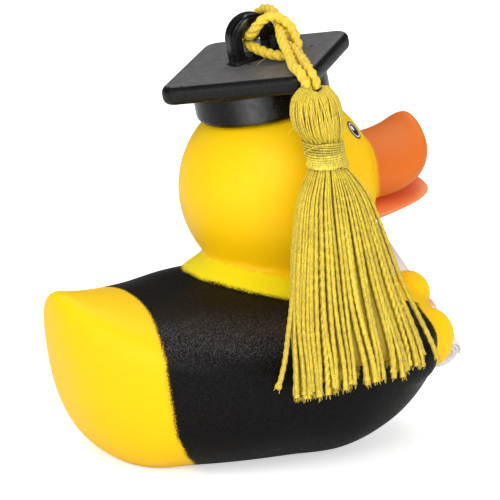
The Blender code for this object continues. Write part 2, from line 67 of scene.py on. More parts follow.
MM = 0.001
ROOT = "root"
HEAD_UP = 54.0
HEAD = Vector((0, 0, HEAD_UP)) * MM
FRAME_PIXELS = 500
Row = Sequence[float]
Shaper = Callable[[bmesh.types.BMesh], None]


class Quarter(Enum):
    """The side of the duck that a paired detail belongs to, as the sign of X."""

    LEFT = 1
    RIGHT = -1


def smooth_row(rows: Sequence[Row], along: float) -> list[float]:
    """A place on the smooth curve through rows of numbers.

    Args:
        rows: The rows, evenly spread along the curve.
        along: The place, 0 at the first row and 1 at the last.

    Returns:
        The row of numbers there.
    """
    place = along * (len(rows) - 1)
    index = min(int(place), len(rows) - 2)
    t = place - index
    before = rows[max(index - 1, 0)]
    after = rows[min(index + 2, len(rows) - 1)]
    return [
        0.5 * (2 * b + (c - a) * t + (2 * a - 5 * b + 4 * c - d) * t**2 + (3 * b - a - 3 * c + d) * t**3)
        for a, b, c, d in zip(before, rows[index], rows[index + 1], after)
    ]


def eased(value: float, low: float, high: float) -> float:
    """How far a value lies between two others, with soft ends.

    Args:
        value: The value.
        low: Where the share is 0.
        high: Where the share is 1.

    Returns:
        The share, from 0 to 1.
    """
    t = min(1.0, max(0.0, (value - low) / (high - low)))
    return t * t * (3 - 2 * t)


def rounded(value: float, squareness: float) -> float:
    """A cosine or sine, pushed out towards a square as squareness passes 2."""
    return math.copysign(abs(value) ** (2 / squareness), value)


def mesh_object(name: str, *shapers: Shaper) -> bpy.types.Object:
    """Builds one mesh object from shapers that each add a closed form to it.

    Args:
        name: The object's name.
        shapers: Functions that add their form to a bmesh.

    Returns:
        The object, linked to the scene, with faces outward.
    """
    mesh = bpy.data.meshes.new(name)
    bm = bmesh.new()
    for shaper in shapers:
        shaper(bm)
    bmesh.ops.recalc_face_normals(bm, faces=bm.faces)
    bm.to_mesh(mesh)
    bm.free()
    obj = bpy.data.objects.new(name, mesh)
    bpy.context.scene.collection.objects.link(obj)
    return obj


def apply_modifiers(obj: bpy.types.Object) -> bpy.types.Object:
    """Replaces an object's mesh or curve by its evaluated mesh.

    Args:
        obj: The object whose modifiers are applied.

    Returns:
        A mesh object of the same name.
    """
    graph = bpy.context.evaluated_depsgraph_get()
    mesh = bpy.data.meshes.new_from_object(obj.evaluated_get(graph))
    name = obj.name
    bpy.data.objects.remove(obj)
    mesh.name = name
    made = bpy.data.objects.new(name, mesh)
    bpy.context.scene.collection.objects.link(made)
    return made


def shade_smooth(obj: bpy.types.Object) -> None:
    """Shades every face of a mesh smooth."""
    obj.data.polygons.foreach_set("use_smooth", [True] * len(obj.data.polygons))


def moulded(obj: bpy.types.Object, voxel: float, passes: int) -> bpy.types.Object:
    """Fuses overlapping forms into one moulded skin with softened creases.

    Args:
        obj: The object that holds the forms.
        voxel: The grain of the skin.
        passes: How often it is smoothed.

    Returns:
        The skin, as a mesh object.
    """
    remesh = obj.modifiers.new("fuse", "REMESH")
    remesh.mode = "VOXEL"
    remesh.voxel_size = voxel
    soften = obj.modifiers.new("soften", "SMOOTH")
    soften.factor = 0.5
    soften.iterations = passes
    made = apply_modifiers(obj)
    shade_smooth(made)
    return made


def round_edges(
    bm: bmesh.types.BMesh, edges: list[bmesh.types.BMEdge], radius: float, segments: int
) -> None:
    """Rounds edges of a bmesh.

    Args:
        bm: The bmesh.
        edges: The edges to round.
        radius: How far back from each edge the rounding starts.
        segments: The number of faces across it.
    """
    bmesh.ops.bevel(
        bm, geom=edges, offset=radius, segments=segments, profile=0.5, affect="EDGES", material=-1
    )


def finish_piece(obj: bpy.types.Object, material: bpy.types.Material, slot: str, *nodes: str) -> None:
    """Dresses a piece, lets it ride on the duck and hides the CAD nodes that it stands for.

    Args:
        obj: The piece.
        material: Its finish.
        slot: Not used.
        nodes: The CAD nodes that it replaces.
    """
    obj.data.materials.clear()
    obj.data.materials.append(material)
    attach(obj, ROOT)
    if nodes:
        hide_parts(*nodes)
    LOG.info("%s: %d faces", obj.name, len(obj.data.polygons))


@dataclass
class Graph:
    """A small builder of shader nodes on one material."""

    name: str
    material: bpy.types.Material = field(init=False)

    def __post_init__(self) -> None:
        """Starts the material with its Principled shader and object coordinates."""
        self.material = bpy.data.materials.new(self.name)
        self.material.use_nodes = True
        self.tree = self.material.node_tree
        self.shader = self.tree.nodes["Principled BSDF"]
        self.place = self.tree.nodes.new("ShaderNodeTexCoord").outputs["Object"]

    def put(self, socket: bpy.types.NodeSocket, value: object) -> None:
        """Links a socket to another, or sets it to a constant.

        Args:
            socket: The input to fill.
            value: An output socket, or the constant.
        """
        if isinstance(value, bpy.types.NodeSocket):
            self.tree.links.new(value, socket)
        else:
            socket.default_value = value

    def math(self, operation: str, *values: object) -> bpy.types.NodeSocket:
        """Adds a math node.

        Args:
            operation: Blender's name for the operation.
            values: Up to three sockets or numbers.

        Returns:
            The node's output.
        """
        node = self.tree.nodes.new("ShaderNodeMath")
        node.operation = operation
        for socket, value in zip(node.inputs, values):
            self.put(socket, value)
        return node.outputs[0]

    def noise(self, scale: float, detail: float = 2.0, stretch: Row = (1, 1, 1)) -> bpy.types.NodeSocket:
        """Adds noise on object coordinates.

        Args:
            scale: Its frequency, in waves a metre.
            detail: Its number of finer layers.
            stretch: The scale of each axis.

        Returns:
            The noise, about 0 to 1.
        """
        mapping = self.tree.nodes.new("ShaderNodeMapping")
        mapping.inputs["Scale"].default_value = stretch
        self.put(mapping.inputs["Vector"], self.place)
        node = self.tree.nodes.new("ShaderNodeTexNoise")
        node.inputs["Scale"].default_value = scale
        node.inputs["Detail"].default_value = detail
        self.put(node.inputs["Vector"], mapping.outputs[0])
        return node.outputs["Fac"]

    def attribute(self, name: str) -> bpy.types.NodeSocket:
        """A vertex attribute's value."""
        node = self.tree.nodes.new("ShaderNodeAttribute")
        node.attribute_name = name
        return node.outputs["Fac"]

    def ramp(
        self, value: object, low: float, high: float, start: float = 0.0, end: float = 1.0
    ) -> bpy.types.NodeSocket:
        """Maps one range to another, with soft ends.

        Args:
            value: The socket to map.
            low: The value that gives start.
            high: The value that gives end.
            start: The result at low.
            end: The result at high.

        Returns:
            The mapped value.
        """
        node = self.tree.nodes.new("ShaderNodeMapRange")
        node.interpolation_type = "SMOOTHSTEP"
        for socket, number in zip(node.inputs[:5], (value, low, high, start, end)):
            self.put(socket, number)
        return node.outputs["Result"]

    def mix(self, share: object, first: object, second: object) -> bpy.types.NodeSocket:
        """Mixes two colours.

        Args:
            share: The second colour's share.
            first: The first colour, or its socket.
            second: The second colour, or its socket.

        Returns:
            The mixed colour.
        """
        node = self.tree.nodes.new("ShaderNodeMix")
        node.data_type = "RGBA"
        self.put(node.inputs[0], share)
        for socket, colour in zip((node.inputs[6], node.inputs[7]), (first, second)):
            self.put(socket, (*colour, 1.0) if isinstance(colour, tuple) else colour)
        return node.outputs[2]

    def bump(self, height: object, distance: float, strength: float = 1.0) -> None:
        """Adds a bump to the shader's normal.

        Args:
            height: The socket that gives the height.
            distance: How high a height of 1 stands.
            strength: How strongly it shows.
        """
        node = self.tree.nodes.new("ShaderNodeBump")
        node.inputs["Distance"].default_value = distance
        node.inputs["Strength"].default_value = strength
        self.put(node.inputs["Height"], height)
        if self.shader.inputs["Normal"].is_linked:
            self.put(node.inputs["Normal"], self.shader.inputs["Normal"].links[0].from_socket)
        self.put(self.shader.inputs["Normal"], node.outputs[0])

    def set(self, **values: object) -> None:
        """Sets or links the Principled shader's inputs.

        Args:
            values: Sockets or constants by the input's name, with _ for a space.
        """
        for key, value in values.items():
            socket = self.shader.inputs[key.replace("_", " ")]
            lacks_alpha = socket.type == "RGBA" and isinstance(value, tuple) and len(value) == 3
            self.put(socket, (*value, 1.0) if lacks_alpha else value)


@dataclass(frozen=True)
class PaintedVinyl:
    """Yellow vinyl with masked, spray-painted fields; grey speckle along the shoulder ridges is partly
    painted highlight.
    """

    yellow: tuple = (0.95, 0.580, 0.002)
    tail: tuple = (0.93, 0.575, 0.002)
    lemon: tuple = (0.86, 0.70, 0.006)
    gown: tuple = (0.0022, 0.0019, 0.0018)
    speck: tuple = (0.17, 0.150, 0.156)
    bill: tuple = (0.67, 0.155, 0.020)
    salmon: tuple = (0.93, 0.24, 0.085)
    overspray: float = 1.9
    edge_wave: float = 1.2
    least_speckle_and_sheen: float = 0.07
    most_speckle_and_sheen: float = 0.60
    bare_gloss: float = 0.15
    painted_gloss: float = 0.10
    wet_gloss: float = 0.35
    glow: float = 0.45
    glow_depth: float = 6 * MM

    def material(self) -> bpy.types.Material:
        """Builds the material on the skin's attributes: gown, rub, collar, bill, under_bill and tail."""
        g = Graph("painted_vinyl")
        grain = g.noise(4200, 3.0)
        drift = g.noise(260, 2.0)
        edge = g.math("MULTIPLY", g.math("SUBTRACT", grain, 0.5), self.overspray)
        wave = g.math("MULTIPLY", g.math("SUBTRACT", drift, 0.5), self.edge_wave)
        skin = g.mix(g.ramp(g.attribute("tail"), -8, 8), self.yellow, self.tail)
        skin = g.mix(g.ramp(g.math("ADD", g.attribute("collar"), wave), -0.12, 0.12), skin, self.lemon)
        inner = g.ramp(g.attribute("under_bill"), -1.0, 2.0)
        orange = g.mix(inner, self.bill, self.salmon)
        bill_edge = g.math("ADD", g.attribute("bill"), g.math("MULTIPLY", edge, 0.35))
        on_bill = g.ramp(bill_edge, -0.5, 0.7)
        skin = g.mix(on_bill, skin, orange)
        wet = g.math("MULTIPLY", on_bill, inner)
        inside = g.math("ADD", g.math("ADD", g.attribute("gown"), edge), g.math("MULTIPLY", wave, 0.3))
        covered = g.ramp(inside, -0.35, 0.45)
        fleck = g.ramp(g.noise(3900, 2.0), 0.40, 0.80)
        # Grey speckle is laid thickest in a band along the shoulder ridge: partly the paint's own speckle,
        # partly a painted highlight where the ridge catches the light.
        rub = g.ramp(g.attribute("rub"), 0.0, 1.0, self.least_speckle_and_sheen, self.most_speckle_and_sheen)
        cloth = g.mix(g.math("MULTIPLY", fleck, rub), self.gown, self.speck)
        satin = g.ramp(g.noise(900, 3.0), 0.3, 0.7, 0.40, 0.48)
        gloss = g.ramp(covered, 0.0, 1.0, self.bare_gloss, self.painted_gloss)
        g.set(
            Base_Color=g.mix(covered, skin, cloth),
            Roughness=g.math("ADD", g.math("MULTIPLY", covered, 0.02), satin),
            Specular_IOR_Level=g.math("MULTIPLY_ADD", wet, self.wet_gloss, gloss),
            Subsurface_Weight=g.math("MULTIPLY", g.math("SUBTRACT", 1.0, covered), self.glow),
            Subsurface_Radius=(1.0, 0.6, 0.1),
            Subsurface_Scale=self.glow_depth,
        )
        g.bump(g.math("MULTIPLY", g.noise(1500, 3.0), covered), 0.06 * MM)
        g.bump(g.noise(120, 2.0), 0.25 * MM, 0.25)
        return g.material


@dataclass(frozen=True)
class CapPaint:
    """Black satin paint on the cap: greyer on faces that look up, partly dust and partly painted sheen of
    the light from above, glossy on the loop.
    """

    black: tuple = (0.0038, 0.0036, 0.0038)
    grey_dust_and_sheen: tuple = (0.19, 0.185, 0.187)
    fleck_dust: float = 0.12
    board_gloss: float = 0.26
    loop_gloss: float = 0.16
    highlight_patch_gloss: float = 0.95
    smoother: float = 0.24

    def material(self) -> bpy.types.Material:
        """Builds the material on the cap's attributes: above, its height over the board, and the patch that
        places a highlight on the band.
        """
        g = Graph("cap_paint")
        above = g.attribute("above")
        off_board = g.math("ADD", g.ramp(above, 0.6, 1.6), g.ramp(above, -4.0, -4.8))
        geometry = g.tree.nodes.new("ShaderNodeNewGeometry")
        split = g.tree.nodes.new("ShaderNodeSeparateXYZ")
        g.put(split.inputs[0], geometry.outputs["Normal"])
        # Painted sheen with some dust: faces that look up are greyed, standing in for the top light's sheen
        # on the board and the light line along its edge.
        up = g.math("MULTIPLY", g.ramp(split.outputs["Z"], 0.80, 0.97), g.math("SUBTRACT", 1.0, off_board))
        cloud = g.ramp(g.noise(420, 3.0), 0.2, 0.8, 0.50, 0.70)
        flecks = g.math("MULTIPLY", g.ramp(g.noise(2400, 4.0), 0.58, 0.75), self.fleck_dust)
        pits = g.ramp(g.noise(420, 2.0), 0.69, 0.73)
        dust_and_sheen = g.math("ADD", g.math("MULTIPLY", up, cloud), flecks)
        dust_and_sheen = g.math("MULTIPLY", dust_and_sheen, g.math("SUBTRACT", 1.0, pits))
        satin = g.ramp(g.noise(1300, 3.0), 0.35, 0.65, 0.38, 0.48)
        mottle = g.ramp(g.noise(800, 3.0), 0.35, 0.65, 0.85, 1.15)
        # Placed highlight: the specular level is raised in a mottled patch fixed at one turn round the band
        # and the loop, so that a highlight shows there.
        polish = g.math("MULTIPLY", g.math("MULTIPLY", g.attribute("polish"), mottle), off_board)
        plain = g.ramp(off_board, 0.0, 1.0, self.board_gloss, self.loop_gloss)
        g.set(
            Base_Color=g.mix(dust_and_sheen, self.black, self.grey_dust_and_sheen),
            Roughness=g.math("SUBTRACT", satin, g.math("MULTIPLY", off_board, self.smoother)),
            Specular_IOR_Level=g.math("MULTIPLY_ADD", polish, self.highlight_patch_gloss, plain),
        )
        dents = g.math("MULTIPLY", g.noise(260, 2.0), g.ramp(off_board, 0.0, 1.0, 0.25, 0.5))
        g.bump(g.noise(1400, 3.0), 0.05 * MM)
        g.bump(dents, 0.7 * MM, 0.5)
        return g.material


@dataclass(frozen=True)
class Yarn:
    """Lustrous golden rayon with darker streaks, lighter on the crowns of the plies and darkened in the
    grooves by painted shade.
    """

    name: str = "golden_yarn"
    light: tuple = (0.97, 0.735, 0.040)
    dark_tone_and_shade: tuple = (0.30, 0.19, 0.005)
    fibre: float = 5200.0
    roughness: float = 0.36
    groove_shade_reach: float = 0.8 * MM

    def material(self) -> bpy.types.Material:
        """Builds the material."""
        g = Graph(self.name)
        fibres = g.noise(self.fibre, 3.0, (1, 1, 0.25))
        patches = g.noise(330, 2.0)
        # Painted shade: ambient occlusion darkens the base colour in the grooves between plies and where
        # threads crowd.
        shade = g.tree.nodes.new("ShaderNodeAmbientOcclusion")
        shade.inputs["Distance"].default_value = self.groove_shade_reach
        shade.samples = 6
        unshaded_share = g.ramp(shade.outputs["AO"], 0.25, 0.95)
        streaks = g.ramp(fibres, 0.3, 0.7, 0.42, 1.0)
        blotches = g.ramp(patches, 0.3, 0.7, -0.12, 0.06)
        tone_and_shade = g.math("MULTIPLY", unshaded_share, g.math("ADD", streaks, blotches))
        g.set(
            Base_Color=g.mix(tone_and_shade, self.dark_tone_and_shade, self.light),
            Roughness=g.ramp(fibres, 0.3, 0.7, self.roughness + 0.12, self.roughness),
            Sheen_Weight=0.35,
            Sheen_Roughness=0.4,
            Sheen_Tint=(1.0, 0.9, 0.5),
        )
        g.bump(fibres, 0.12 * MM)
        return g.material


@dataclass(frozen=True)
class PlainFinish:
    """A plain moulded or painted surface with a little grain."""

    name: str
    colour: tuple
    roughness: float = 0.4
    variation: float = 0.08

    def material(self) -> bpy.types.Material:
        """Builds the material."""
        g = Graph(self.name)
        darker = tuple(v * (1 - self.variation) for v in self.colour)
        g.set(
            Base_Color=g.mix(g.ramp(g.noise(500, 3.0), 0.3, 0.7), darker, self.colour),
            Roughness=g.ramp(g.noise(1100, 3.0), 0.3, 0.7, self.roughness - 0.05, self.roughness + 0.06),
        )
        g.bump(g.noise(900, 2.0), 0.05 * MM)
        return g.material


@dataclass(frozen=True)
class EyePaint:
    """Printed rounds: black pupil with a white glint, white ring, dark grey rim."""

    rim: tuple = (0.05, 0.05, 0.055)
    white: tuple = (0.80, 0.80, 0.80)
    black: tuple = (0.01, 0.01, 0.011)
    pupil_edge: tuple = (1.46, 1.54)
    ring_edge: tuple = (1.74, 1.84)
    glint_edge: tuple = (0.66, 0.56)

    def material(self) -> bpy.types.Material:
        """Builds the material on the eye's attributes: round and glint, both distances in millimetres."""
        g = Graph("eye_paint")
        out = g.attribute("round")
        colour = g.mix(g.ramp(out, *self.pupil_edge), self.black, self.white)
        colour = g.mix(g.ramp(out, *self.ring_edge), colour, self.rim)
        colour = g.mix(g.ramp(g.attribute("glint"), *self.glint_edge), colour, self.white)
        g.set(Base_Color=colour, Roughness=0.3)
        return g.material


@dataclass
class Duck:
    """The moulded vinyl duck: body, neck, head, bill, sleeves and hands in one painted skin."""

    head_radius: float = 20.8 * MM
    head_height: float = HEAD_UP * MM
    neck_radius: float = 13.9 * MM
    neck_back: float = 1.0 * MM
    neck_foot: float = 27 * MM
    collar_height: float = 36.2 * MM
    collar_lean: float = math.radians(12)
    collar_depth: float = 5.2 * MM
    collar_foot: float = 18.8 * MM
    collar_top: float = 13.7 * MM
    sleeve_back: Vector = Vector((24.0, 25.0, 23.5)) * MM
    sleeve_front: Vector = Vector((25.5, -17.5, 20.5)) * MM
    sleeve_radius: float = 8.8 * MM
    sleeve_overrun: float = 6 * MM
    drape_passes: int = 60
    voxel: float = 0.62 * MM
    body_rows: Sequence[Row] = (
        (-51.7, 0.0, 32.0, 32.0, 32.0),
        (-51.2, 5.0, 26.5, 31.5, 35.6),
        (-49.6, 9.0, 20.0, 30.0, 36.5),
        (-46.6, 14.5, 10.0, 28.0, 36.0),
        (-42.0, 20.0, 3.0, 25.5, 35.4),
        (-35.5, 26.0, -0.8, 23.5, 35.0),
        (-27.0, 31.0, -0.8, 22.0, 35.4),
        (-18.0, 33.6, -0.8, 21.0, 37.2),
        (-7.0, 34.2, -0.8, 20.5, 37.4),
        (4.0, 34.0, -0.8, 20.5, 35.0),
        (14.0, 31.0, 2.4, 21.0, 33.5),
        (22.0, 26.0, 7.0, 22.0, 32.5),
        (28.5, 19.0, 12.5, 22.5, 31.0),
        (32.5, 10.0, 17.0, 23.0, 28.5),
        (33.6, 0.0, 22.5, 22.5, 22.5),
    )
    upper_bill_rows: Sequence[Row] = (
        (8.0, 0.0, 2.5, 2.5),
        (10.0, 8.0, -2.5, 8.0),
        (15.0, 11.5, -4.3, 10.6),
        (19.5, 12.4, -3.8, 9.7),
        (23.5, 13.0, -2.7, 10.1),
        (27.3, 12.0, -1.2, 11.4),
        (30.3, 9.8, 0.8, 13.1),
        (31.8, 6.4, 3.2, 11.7),
        (32.2, 0.0, 7.6, 7.6),
    )
    lower_bill_rows: Sequence[Row] = (
        (8.0, 0.0, -6.5, -6.5),
        (10.5, 5.5, -9.0, -4.6),
        (16.0, 8.6, -9.0, -3.4),
        (22.5, 9.6, -6.8, -3.0),
        (29.0, 9.0, -4.2, -2.3),
        (32.8, 6.0, -3.0, -1.2),
        (34.2, 0.0, -1.8, -1.8),
    )
    right_hand: Vector = Vector((-14.6, -28.2, 21.2)) * MM
    left_hand: Vector = Vector((-4.0, -29.2, 28.3)) * MM
    right_hand_size: Vector = Vector((5.4, 5.7, 6.4)) * MM
    left_hand_size: Vector = Vector((5.0, 4.8, 5.0)) * MM
    diploma_top: Vector = Vector((12.5, -27.5, 37.5)) * MM
    diploma_foot: Vector = Vector((-16.6, -31.2, 17.2)) * MM
    diploma_radius: float = 3.9 * MM
    paper: float = 0.44 * MM
    paper_turns: float = 2.6
    paper_closing: float = 0.5
    ribbon_place: float = 0.66
    ribbon_width: float = 1.8 * MM
    ribbon_proud: float = 0.6 * MM
    eye_toward: Vector = Vector((11.2, -12.1, 12.6))
    eye_radius: float = 2.2 * MM
    eye_film: float = 0.12 * MM
    eye_lift: float = 0.05 * MM
    hem_heights: Row = (0, 5, 10, 14, 19, 24, 28, 31, 34, 36)
    hem_places: Row = (-26, -31.8, -34.9, -36, -36.8, -37.3, -37.2, -36.6, -35.2, -34.8)
    gown_top: float = 43.5
    neckline: float = 19.2
    yoke_height: float = 27.8
    yoke_half: float = 14.0
    left_cuff: float = 1.7
    right_cuff: float = 1.3
    bill_root: float = 21.1

    @property
    def head(self) -> Vector:
        """The middle of the head."""
        return Vector((0, 0, self.head_height))

    def paired(self, left: Vector, side: Quarter) -> Vector:
        """The place on the given side that mirrors a place on the left."""
        return Vector((side.value * left.x, left.y, left.z))

    def lathe(self, rings: int, segments: int, section: Callable[[float, float], Vector]) -> Shaper:
        """A closed form of rings from back to front.

        Args:
            rings: The number of rings.
            segments: The number of points on each.
            section: Gives a point for a share along and an angle.

        Returns:
            The shaper that adds the form.
        """

        def shape(bm: bmesh.types.BMesh) -> None:
            """Adds the form to a bmesh."""
            turn = Matrix.Rotation(math.pi / 2, 4, "X")
            made = bmesh.ops.create_uvsphere(
                bm, u_segments=segments, v_segments=rings, radius=1, matrix=turn
            )
            for vert in made["verts"]:
                along = 1 - math.acos(max(-1.0, min(1.0, -vert.co.y))) / math.pi
                vert.co = section(along, math.atan2(vert.co.z, vert.co.x))

        return shape

    def body_section(self, along: float, angle: float) -> Vector:
        """A point on the body's hull.

        Args:
            along: The share from the tail to the breast.
            angle: The angle round the middle line, from the left upwards.

        Returns:
            The point.
        """
        forward, half, low, middle, top = (v * MM for v in smooth_row(self.body_rows, along))
        under = math.sin(angle) < 0
        squareness = 2.5 if under else 1.8
        reach = (middle - low) if under else (top - middle)
        height = middle + reach * rounded(math.sin(angle), squareness)
        return Vector((half * rounded(math.cos(angle), squareness), -forward, max(height, 0)))

    def bill_section(self, rows: Sequence[Row]) -> Callable[[float, float], Vector]:
        """Points on one half of the bill.

        Args:
            rows: Forward, half width, low and high edge of each section, in millimetres from the head.

        Returns:
            The section that the lathe takes.
        """

        def section(along: float, angle: float) -> Vector:
            """A point for a share along and an angle."""
            forward, half, low, top = (v * MM for v in smooth_row(rows, along))
            squareness = 1.7 if math.sin(angle) > 0 else 2.3
            across = half * rounded(math.cos(angle), squareness)
            droop = 0.1 * half * math.cos(angle) ** 2
            height = (low + top) / 2 + (top - low) / 2 * rounded(math.sin(angle), squareness) - droop
            return self.head + Vector((across, -forward, height))

        return section

    def ellipsoid(self, centre: Vector, size: Vector, turn: Matrix | None = None) -> Shaper:
        """A ball stretched to three half sizes.

        Args:
            centre: Its middle.
            size: Its half sizes.
            turn: Its turn, if it has one.

        Returns:
            The shaper that adds it.
        """

        def shape(bm: bmesh.types.BMesh) -> None:
            """Adds the form to a bmesh."""
            at = Matrix.Translation(centre) @ (turn or Matrix.Identity(4)) @ Matrix.Diagonal((*size, 1))
            bmesh.ops.create_uvsphere(bm, u_segments=64, v_segments=40, radius=1, matrix=at)

        return shape

    def cone(self, centre: Vector, tilt: float, depth: float, foot: float, top: float) -> Shaper:
        """A round form about the neck.

        Args:
            centre: Its middle.
            tilt: How far it leans.
            depth: Its height.
            foot: Its lower radius.
            top: Its upper radius.

        Returns:
            The shaper that adds it.
        """

        def shape(bm: bmesh.types.BMesh) -> None:
            """Adds the form to a bmesh."""
            at = Matrix.Translation(centre) @ Matrix.Rotation(tilt, 4, "X")
            bmesh.ops.create_cone(
                bm, cap_ends=True, segments=96, depth=depth, radius1=foot, radius2=top, matrix=at
            )

        return shape

    def sleeve(self, side: Quarter) -> Shaper:
        """A swelling along the side, from behind the shoulder to the hand.

        Args:
            side: The side that it is on.

        Returns:
            The shaper that adds it.
        """

        def shape(bm: bmesh.types.BMesh) -> None:
            """Adds the form to a bmesh."""
            start = self.paired(self.sleeve_back, side)
            end = self.paired(self.sleeve_front, side)
            run = end - start
            turn = run.to_track_quat("Z", "Y").to_matrix().to_4x4()
            made = bmesh.ops.create_uvsphere(bm, u_segments=48, v_segments=40, radius=1)
            for vert in made["verts"]:
                wide = self.sleeve_radius * math.hypot(vert.co.x, vert.co.y) ** 0.8
                angle = math.atan2(vert.co.y, vert.co.x)
                height = vert.co.z * (run.length / 2 + self.sleeve_overrun)
                vert.co = Vector((wide * math.cos(angle), wide * math.sin(angle), height))
            at = Matrix.Translation((start + end) / 2) @ turn
            bmesh.ops.transform(bm, matrix=at, verts=made["verts"])

        return shape

    def skin(self) -> bpy.types.Object:
        """Builds the moulded skin."""
        neck_height = self.head_height - self.neck_foot
        neck_at = Vector((0, self.neck_back, self.neck_foot + neck_height / 2))
        collar_at = Vector((0, self.neck_back, self.collar_height))
        forms = mesh_object(
            "duck_skin",
            self.lathe(120, 160, self.body_section),
            self.ellipsoid(self.head, Vector((1, 1, 1)) * self.head_radius),
            self.cone(neck_at, 0.0, neck_height, self.neck_radius, self.neck_radius),
            self.cone(collar_at, self.collar_lean, self.collar_depth, self.collar_foot, self.collar_top),
            self.sleeve(Quarter.LEFT),
            self.sleeve(Quarter.RIGHT),
            self.ellipsoid(self.left_hand, self.left_hand_size),
            self.ellipsoid(self.right_hand, self.right_hand_size),
        )
        made = moulded(forms, self.voxel, 5)
        cloth = made.vertex_groups.new(name="cloth")
        for vert in made.data.vertices:
            right, forward, up = (abs(v) / MM for v in vert.co)
            off_neck = eased(math.hypot(right, forward), 20.5, 24.5)
            weight = off_neck * eased(right, 8, 14) * eased(up, 14, 20) * eased(-vert.co.y / MM, 24, 16)
            cloth.add([vert.index], weight, "REPLACE")
        drape = made.modifiers.new("drape", "SMOOTH")
        drape.factor = 0.5
        drape.iterations = self.drape_passes
        drape.vertex_group = "cloth"
        made = apply_modifiers(made)
        shade_smooth(made)
        return made

    def bill(self) -> bpy.types.Object:
        """The two halves of the bill, rooted in the head."""
        upper = self.lathe(90, 96, self.bill_section(self.upper_bill_rows))
        lower = self.lathe(90, 96, self.bill_section(self.lower_bill_rows))
        obj = mesh_object("bill", upper, lower)
        shade_smooth(obj)
        return obj

    def paint_fields(self, obj: bpy.types.Object) -> None:
        """Stores each painted field's signed distance in millimetres, positive inside.

        Args:
            obj: The skin or the bill.
        """
        points = np.empty(len(obj.data.vertices) * 3)
        obj.data.vertices.foreach_get("co", points)
        points = points.reshape(-1, 3) / MM
        forward, right, up = -points[:, 1], -points[:, 0], points[:, 2]
        neck = np.hypot(right, forward + self.neck_back / MM)
        hem = np.interp(up, self.hem_heights, self.hem_places)
        upper = np.minimum(neck - self.neckline, self.gown_top - up)
        behind = np.clip(7 - forward, 0, None)
        beside = np.clip(np.abs(right) - self.yoke_half, 0, None)
        yoke = self.yoke_height - up + 1.5 * behind + 2 * beside
        gown = np.minimum(forward - hem, np.where(up > 20, upper, 9))
        gown = np.minimum(gown, yoke)
        hands = (
            (self.left_hand, self.left_hand_size, self.left_cuff),
            (self.right_hand, self.right_hand_size, self.right_cuff),
        )
        for hand, size, cuff in hands:
            reach = np.linalg.norm((points - np.array(hand) / MM) / (np.array(size) / MM), axis=1)
            gown = np.minimum(gown, (reach - cuff) * 6)
        turn = np.arctan2(right, forward)
        ragged = 0.22 * np.sin(31 * turn) + 0.2 * np.sin(47 * turn + 1)
        crease = self.collar_height / MM - 0.25 * forward + ragged
        from_head = points - np.array(self.head) / MM
        off_head = np.linalg.norm(from_head, axis=1) - self.bill_root
        fields = {
            "gown": gown,
            # Band along the shoulder ridge where grey speckle is laid thickest, partly as a painted
            # highlight.
            "rub": np.exp(-(((up - 29.5) / 3.6) ** 2)) * np.clip((np.abs(right) - 10) / 8, 0, 1),
            "collar": np.minimum(crease - up, 21 - neck),
            "tail": -forward - 30,
            "bill": np.where(forward > 8, np.minimum(off_head, 14 + from_head[:, 2]), -9),
            "under_bill": -from_head[:, 2] - 3.4 + 0.28 * (forward - 20),
        }
        for name, values in fields.items():
            layer = obj.data.attributes.new(name, "FLOAT", "POINT")
            layer.data.foreach_set("value", values.astype(np.float32))

    def eye(self, side: Quarter) -> bpy.types.Object:
        """A thin printed round on the head, with its attributes.

        Args:
            side: The side that it is on.

        Returns:
            The eye.
        """
        out = self.paired(self.eye_toward, side).normalized()
        turn = out.to_track_quat("Z", "Y").to_matrix().to_4x4()

        def shape(bm: bmesh.types.BMesh) -> None:
            """Adds the form to a bmesh."""
            radius = self.head_radius + self.eye_lift
            bmesh.ops.create_uvsphere(bm, u_segments=64, v_segments=240, radius=radius)
            low = [v for v in bm.verts if math.hypot(v.co.x, v.co.y) > self.eye_radius or v.co.z < 0]
            bmesh.ops.delete(bm, geom=low, context="VERTS")
            bmesh.ops.transform(bm, matrix=Matrix.Translation(self.head) @ turn, verts=bm.verts)

        obj = mesh_object(f"eye_{side.name.lower()}", shape)
        solid = obj.modifiers.new("film", "SOLIDIFY")
        solid.thickness = self.eye_film
        solid.offset = -1
        obj = apply_modifiers(obj)
        shade_smooth(obj)
        flat = (Matrix.Translation(self.head) @ turn).inverted()
        local = [(flat @ v.co) / MM for v in obj.data.vertices]
        rounds = [math.hypot(p.x, p.y) for p in local]
        glints = [math.hypot(p.x - 0.45 * side.value, p.y - 0.55) for p in local]
        for name, values in (("round", rounds), ("glint", glints)):
            obj.data.attributes.new(name, "FLOAT", "POINT").data.foreach_set("value", values)
        return obj

    def scroll(self) -> bpy.types.Object:
        """The paper scroll: a sheet rolled on itself, with open spiral ends."""
        run = self.diploma_foot - self.diploma_top
        turn = run.to_track_quat("Z", "Y").to_matrix().to_4x4()
        steps = 90

        def shape(bm: bmesh.types.BMesh) -> None:
            """Adds the form to a bmesh."""
            verts = []
            for step in range(steps + 1):
                radius = self.diploma_radius * (1 - self.paper_closing * step / steps)
                angle = self.paper_turns * 2 * math.pi * step / steps
                place = (radius * math.cos(angle), radius * math.sin(angle), -run.length / 2)
                verts.append(bm.verts.new(place))
            edges = [bm.edges.new(pair) for pair in zip(verts, verts[1:])]
            grown = bmesh.ops.extrude_edge_only(bm, edges=edges)
            moved = [v for v in grown["geom"] if isinstance(v, bmesh.types.BMVert)]
            bmesh.ops.translate(bm, verts=moved, vec=(0, 0, run.length))
            at = Matrix.Translation((self.diploma_top + self.diploma_foot) / 2) @ turn
            bmesh.ops.transform(bm, matrix=at, verts=bm.verts)

        obj = mesh_object("paper_scroll", shape)
        solid = obj.modifiers.new("sheet", "SOLIDIFY")
        solid.thickness = self.paper
        solid.offset = 0
        obj = apply_modifiers(obj)
        shade_smooth(obj)
        return obj

